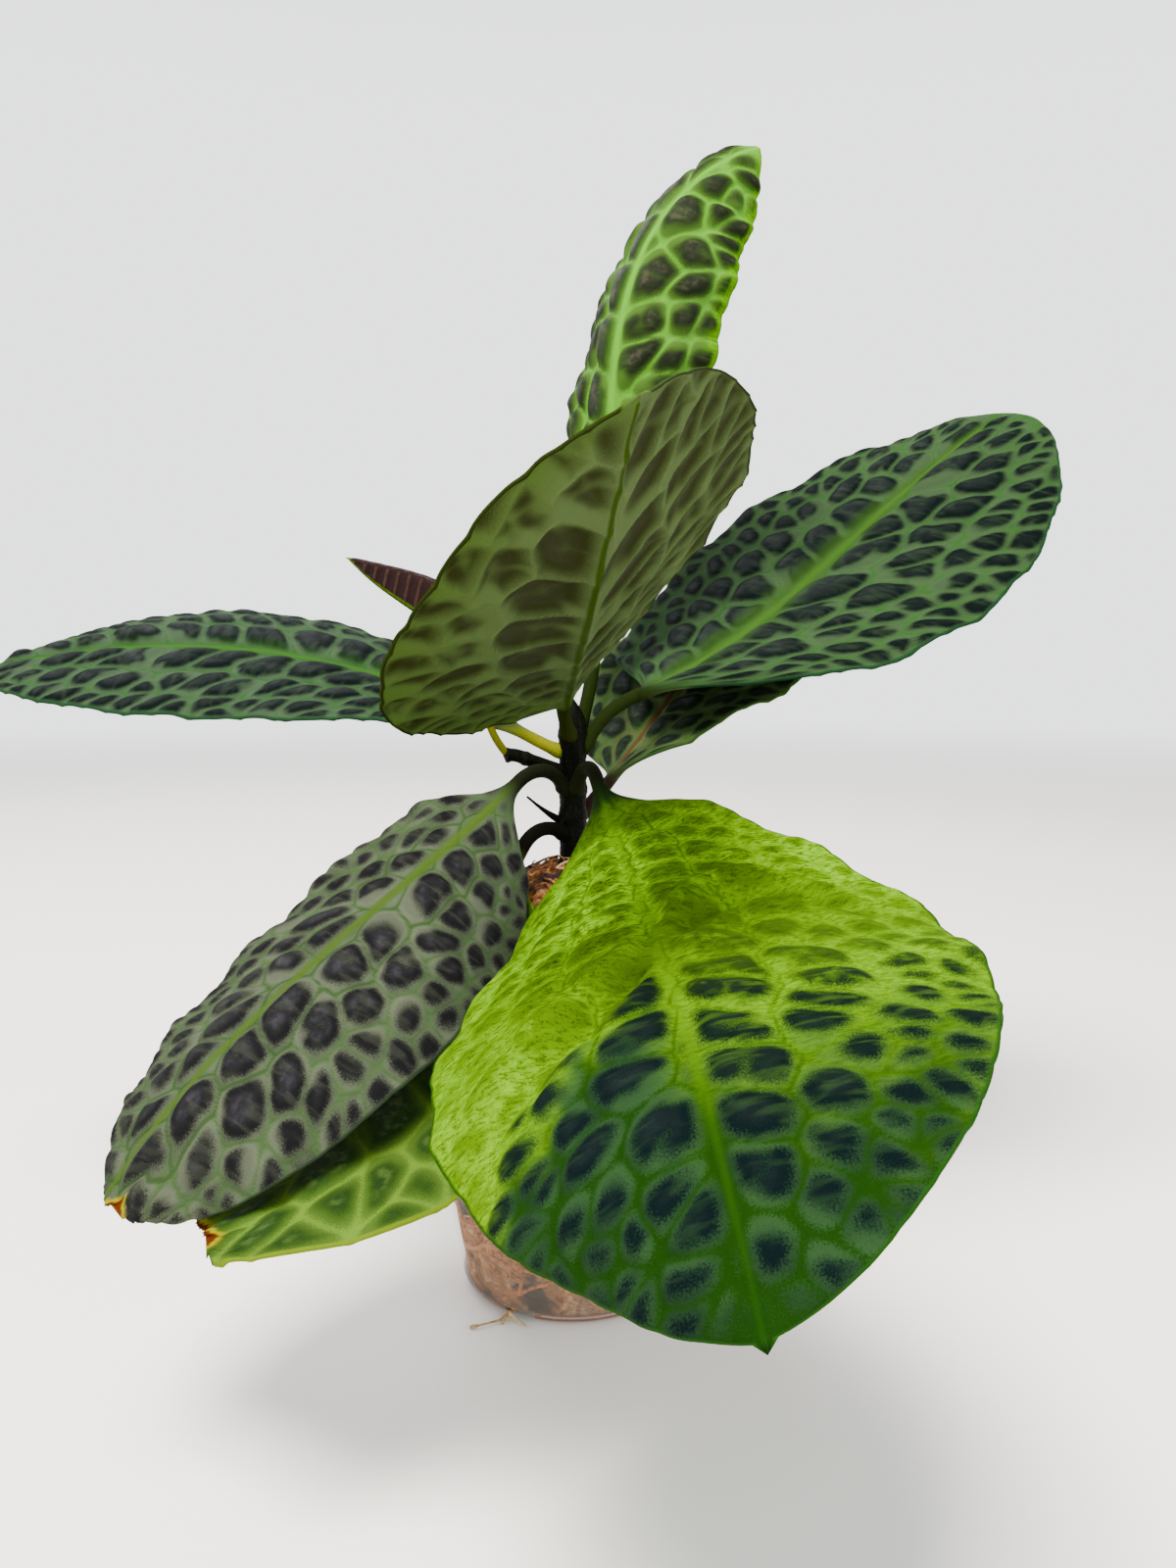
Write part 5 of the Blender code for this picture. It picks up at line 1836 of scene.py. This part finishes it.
@dataclass
class EscapedRoots:
    """The few roots that leave by the front notch: a knot in its mouth and thin ends on the floor."""

    knot: tuple[float, float, float] = (33.6, 238.0, 1.5)  # radius, heading and height of its middle
    knot_radius: float = 0.95
    radius: float = 0.42  # of a root
    lie: float = 0.65  # height of a root's middle where it lies on the floor

    def build(self) -> None:
        """Run each root through its points on a smooth path, ending in a small blob, and make the piece."""
        knot = polar(self.knot[0], self.knot[1], self.knot[2])
        routes = (
            ((31.6, 238.0, 1.6), self.knot),
            (self.knot, (35.0, 236.5, 0.9), (37.0, 236.0, self.lie), (40.0, 233.5, self.lie),
             (44.5, 230.5, self.lie)),
            (self.knot, (34.8, 239.5, 0.9), (36.0, 238.2, self.lie), (37.5, 238.5, self.lie)),
            (self.knot, (34.4, 243.0, 1.0), (35.2, 246.5, self.lie), (36.2, 249.0, self.lie)),
        )
        made, count = [], 34
        for number, route in enumerate(routes):
            path = smooth_path([polar(*spot) for spot in route], count)
            part = np.linspace(0.0, 1.0, count)
            blob = 0.35 * np.exp(-((part - 0.96) / 0.05) ** 2) if number in (1, 2) else 0.0
            radii = self.radius * (1.0 - 0.35 * part) + blob + 0.4 * np.exp(-(part / 0.12) ** 2)
            radii = np.minimum(radii, np.maximum(path[:, 2] - 0.05, 0.1))
            made.append(tube(path, radii, 10, UP, tone=0.3 + 0.2 * number))
        turn = np.linspace(0.1, math.pi - 0.1, 12)
        ball = -np.cos(turn)[:, None] * UP * self.knot_radius + knot
        made.append(tube(ball, self.knot_radius * np.sin(turn), 14, np.array([1.0, 0.0, 0.0]), tone=0.2))
        mesh = made[0].plus(made[1:]).mesh("floor_roots")
        skin = RootFinish(skin=(214, 188, 144), dark=(160, 124, 84), pale=(228, 208, 170))
        finish_piece("floor_roots", mesh, skin.material("floor_root_finish"), ("escaped_roots",))


@dataclass(frozen=True)
class Lamp:
    """A square soft light: its place and side in metres, its watts and its tint."""

    name: str
    place: tuple[float, float, float]
    size: float
    watts: float
    tint: Tint


@dataclass
class Studio:
    """The pale floor, the soft lights and the camera."""

    camera_place: tuple[float, float, float] = (4.5, -365.0, 191.0)
    camera_pitch: float = -6.5  # degrees above the level
    lens: float = 28.8
    film: float = 36.0  # height of the picture behind the lens
    sky: tuple[float, float, float, float] = (0.36, 0.80, 2.5, 0.30)  # rise from and to, light from and to
    tint: Tint = (250, 252, 253)  # of the sky, and of the floor far away
    floor_tints: tuple[Tint, Tint] = ((240, 236, 231), (234, 231, 227))
    floor_side: float = 3.0  # half the floor's side in metres
    aim: tuple[float, float, float] = (0.0, 0.0, 0.15)
    lamps: tuple[Lamp, ...] = (
        Lamp("key", (-0.25, -0.55, 1.35), 0.6, 78.0, (255, 250, 240)),
        Lamp("fill", (1.1, -0.7, 0.8), 1.2, 12.0, (240, 246, 255)),
        Lamp("back", (-0.5, 1.0, 1.2), 0.9, 22.0, (250, 252, 255)),
    )

    def floor(self) -> None:
        """Lay a wide pale floor with the faintest mottling, which glows like the sky towards its far edge."""
        side = self.floor_side
        corners = [(-side, -side, 0), (side, -side, 0), (side, side, 0), (-side, side, 0)]
        mesh = bpy.data.meshes.new("floor")
        mesh.from_pydata(corners, [], [(0, 1, 2, 3)])
        paint = Paint("floor_finish")
        grain = paint.noise(2.2, 3.0)
        colour = paint.blend(grain, *map(linear, self.floor_tints))
        reach = paint.node("ShaderNodeVectorMath", operation="LENGTH")
        paint.feed(reach.inputs[0], paint.place())
        far = paint.step(reach.outputs["Value"], 0.8, 2.8)
        colour = paint.blend(far, colour, (0.0, 0.0, 0.0, 1.0))
        glow = paint.times(far, self.sky[2])
        mesh.materials.append(paint.finish(colour, 0.9, Specular_IOR_Level=0.0, Emission_Strength=glow,
                                           Emission_Color=linear(self.tint)))
        put("floor", mesh)

    def hang(self, lamp: Lamp) -> None:
        """Hang a light that faces the plant.

        Args:
            lamp: the light's place, size, power and tint.
        """
        light = bpy.data.lights.new(lamp.name, "AREA")
        light.shape = "SQUARE"
        light.size = lamp.size
        light.energy = lamp.watts
        light.color = linear(lamp.tint)[:3]
        put(lamp.name, light).matrix_world = self.aimed(lamp.place)

    def aimed(self, place: tuple[float, float, float]) -> Matrix:
        """Place and turn something so that its -Z faces the middle of the plant.

        Args:
            place: where it is, in metres.

        Returns:
            The matrix.
        """
        away = np.subtract(place, self.aim)
        away = away / np.linalg.norm(away)
        side = np.cross(UP, away)
        side = side / np.linalg.norm(side)
        turn = Matrix(np.column_stack([side, np.cross(away, side), away]).tolist()).to_4x4()
        return Matrix.Translation(place) @ turn

    def build(self) -> None:
        """Set the floor, world, lights and camera."""
        self.floor()
        world = bpy.data.worlds.new("studio")
        world.use_nodes = True
        tree = world.node_tree
        where = tree.nodes.new("ShaderNodeTexCoord")
        parts = tree.nodes.new("ShaderNodeSeparateXYZ")
        rise = tree.nodes.new("ShaderNodeMapRange")
        rise.interpolation_type = "SMOOTHSTEP"
        for number, value in enumerate(self.sky):
            rise.inputs[number + 1].default_value = value
        tree.links.new(where.outputs["Generated"], parts.inputs[0])
        tree.links.new(parts.outputs["Z"], rise.inputs[0])
        back = tree.nodes["Background"]
        tree.links.new(rise.outputs[0], back.inputs["Strength"])
        back.inputs["Color"].default_value = linear(self.tint)
        bpy.context.scene.world = world
        for lamp in self.lamps:
            self.hang(lamp)
        lens = bpy.data.cameras.new("camera")
        lens.sensor_fit = "VERTICAL"
        lens.sensor_height = self.film
        lens.lens = self.lens
        lens.clip_start = 0.01
        camera = put("camera", lens)
        camera.location = tuple(value * MM for value in self.camera_place)
        camera.rotation_euler = (math.radians(90.0 + self.camera_pitch), 0.0, 0.0)
        bpy.context.scene.camera = camera


def main() -> None:
    """Build the studio and every piece of the plant."""
    logging.basicConfig(level=logging.INFO, format="%(name)s %(message)s")
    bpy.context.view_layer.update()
    Studio().build()
    for leaf in LEAVES:
        leaf.build()
    cup = Cup()
    cup.build()
    Moss(cup).build()
    Stem().build()
    EscapedRoots().build()


if __name__ == "__main__":
    main()
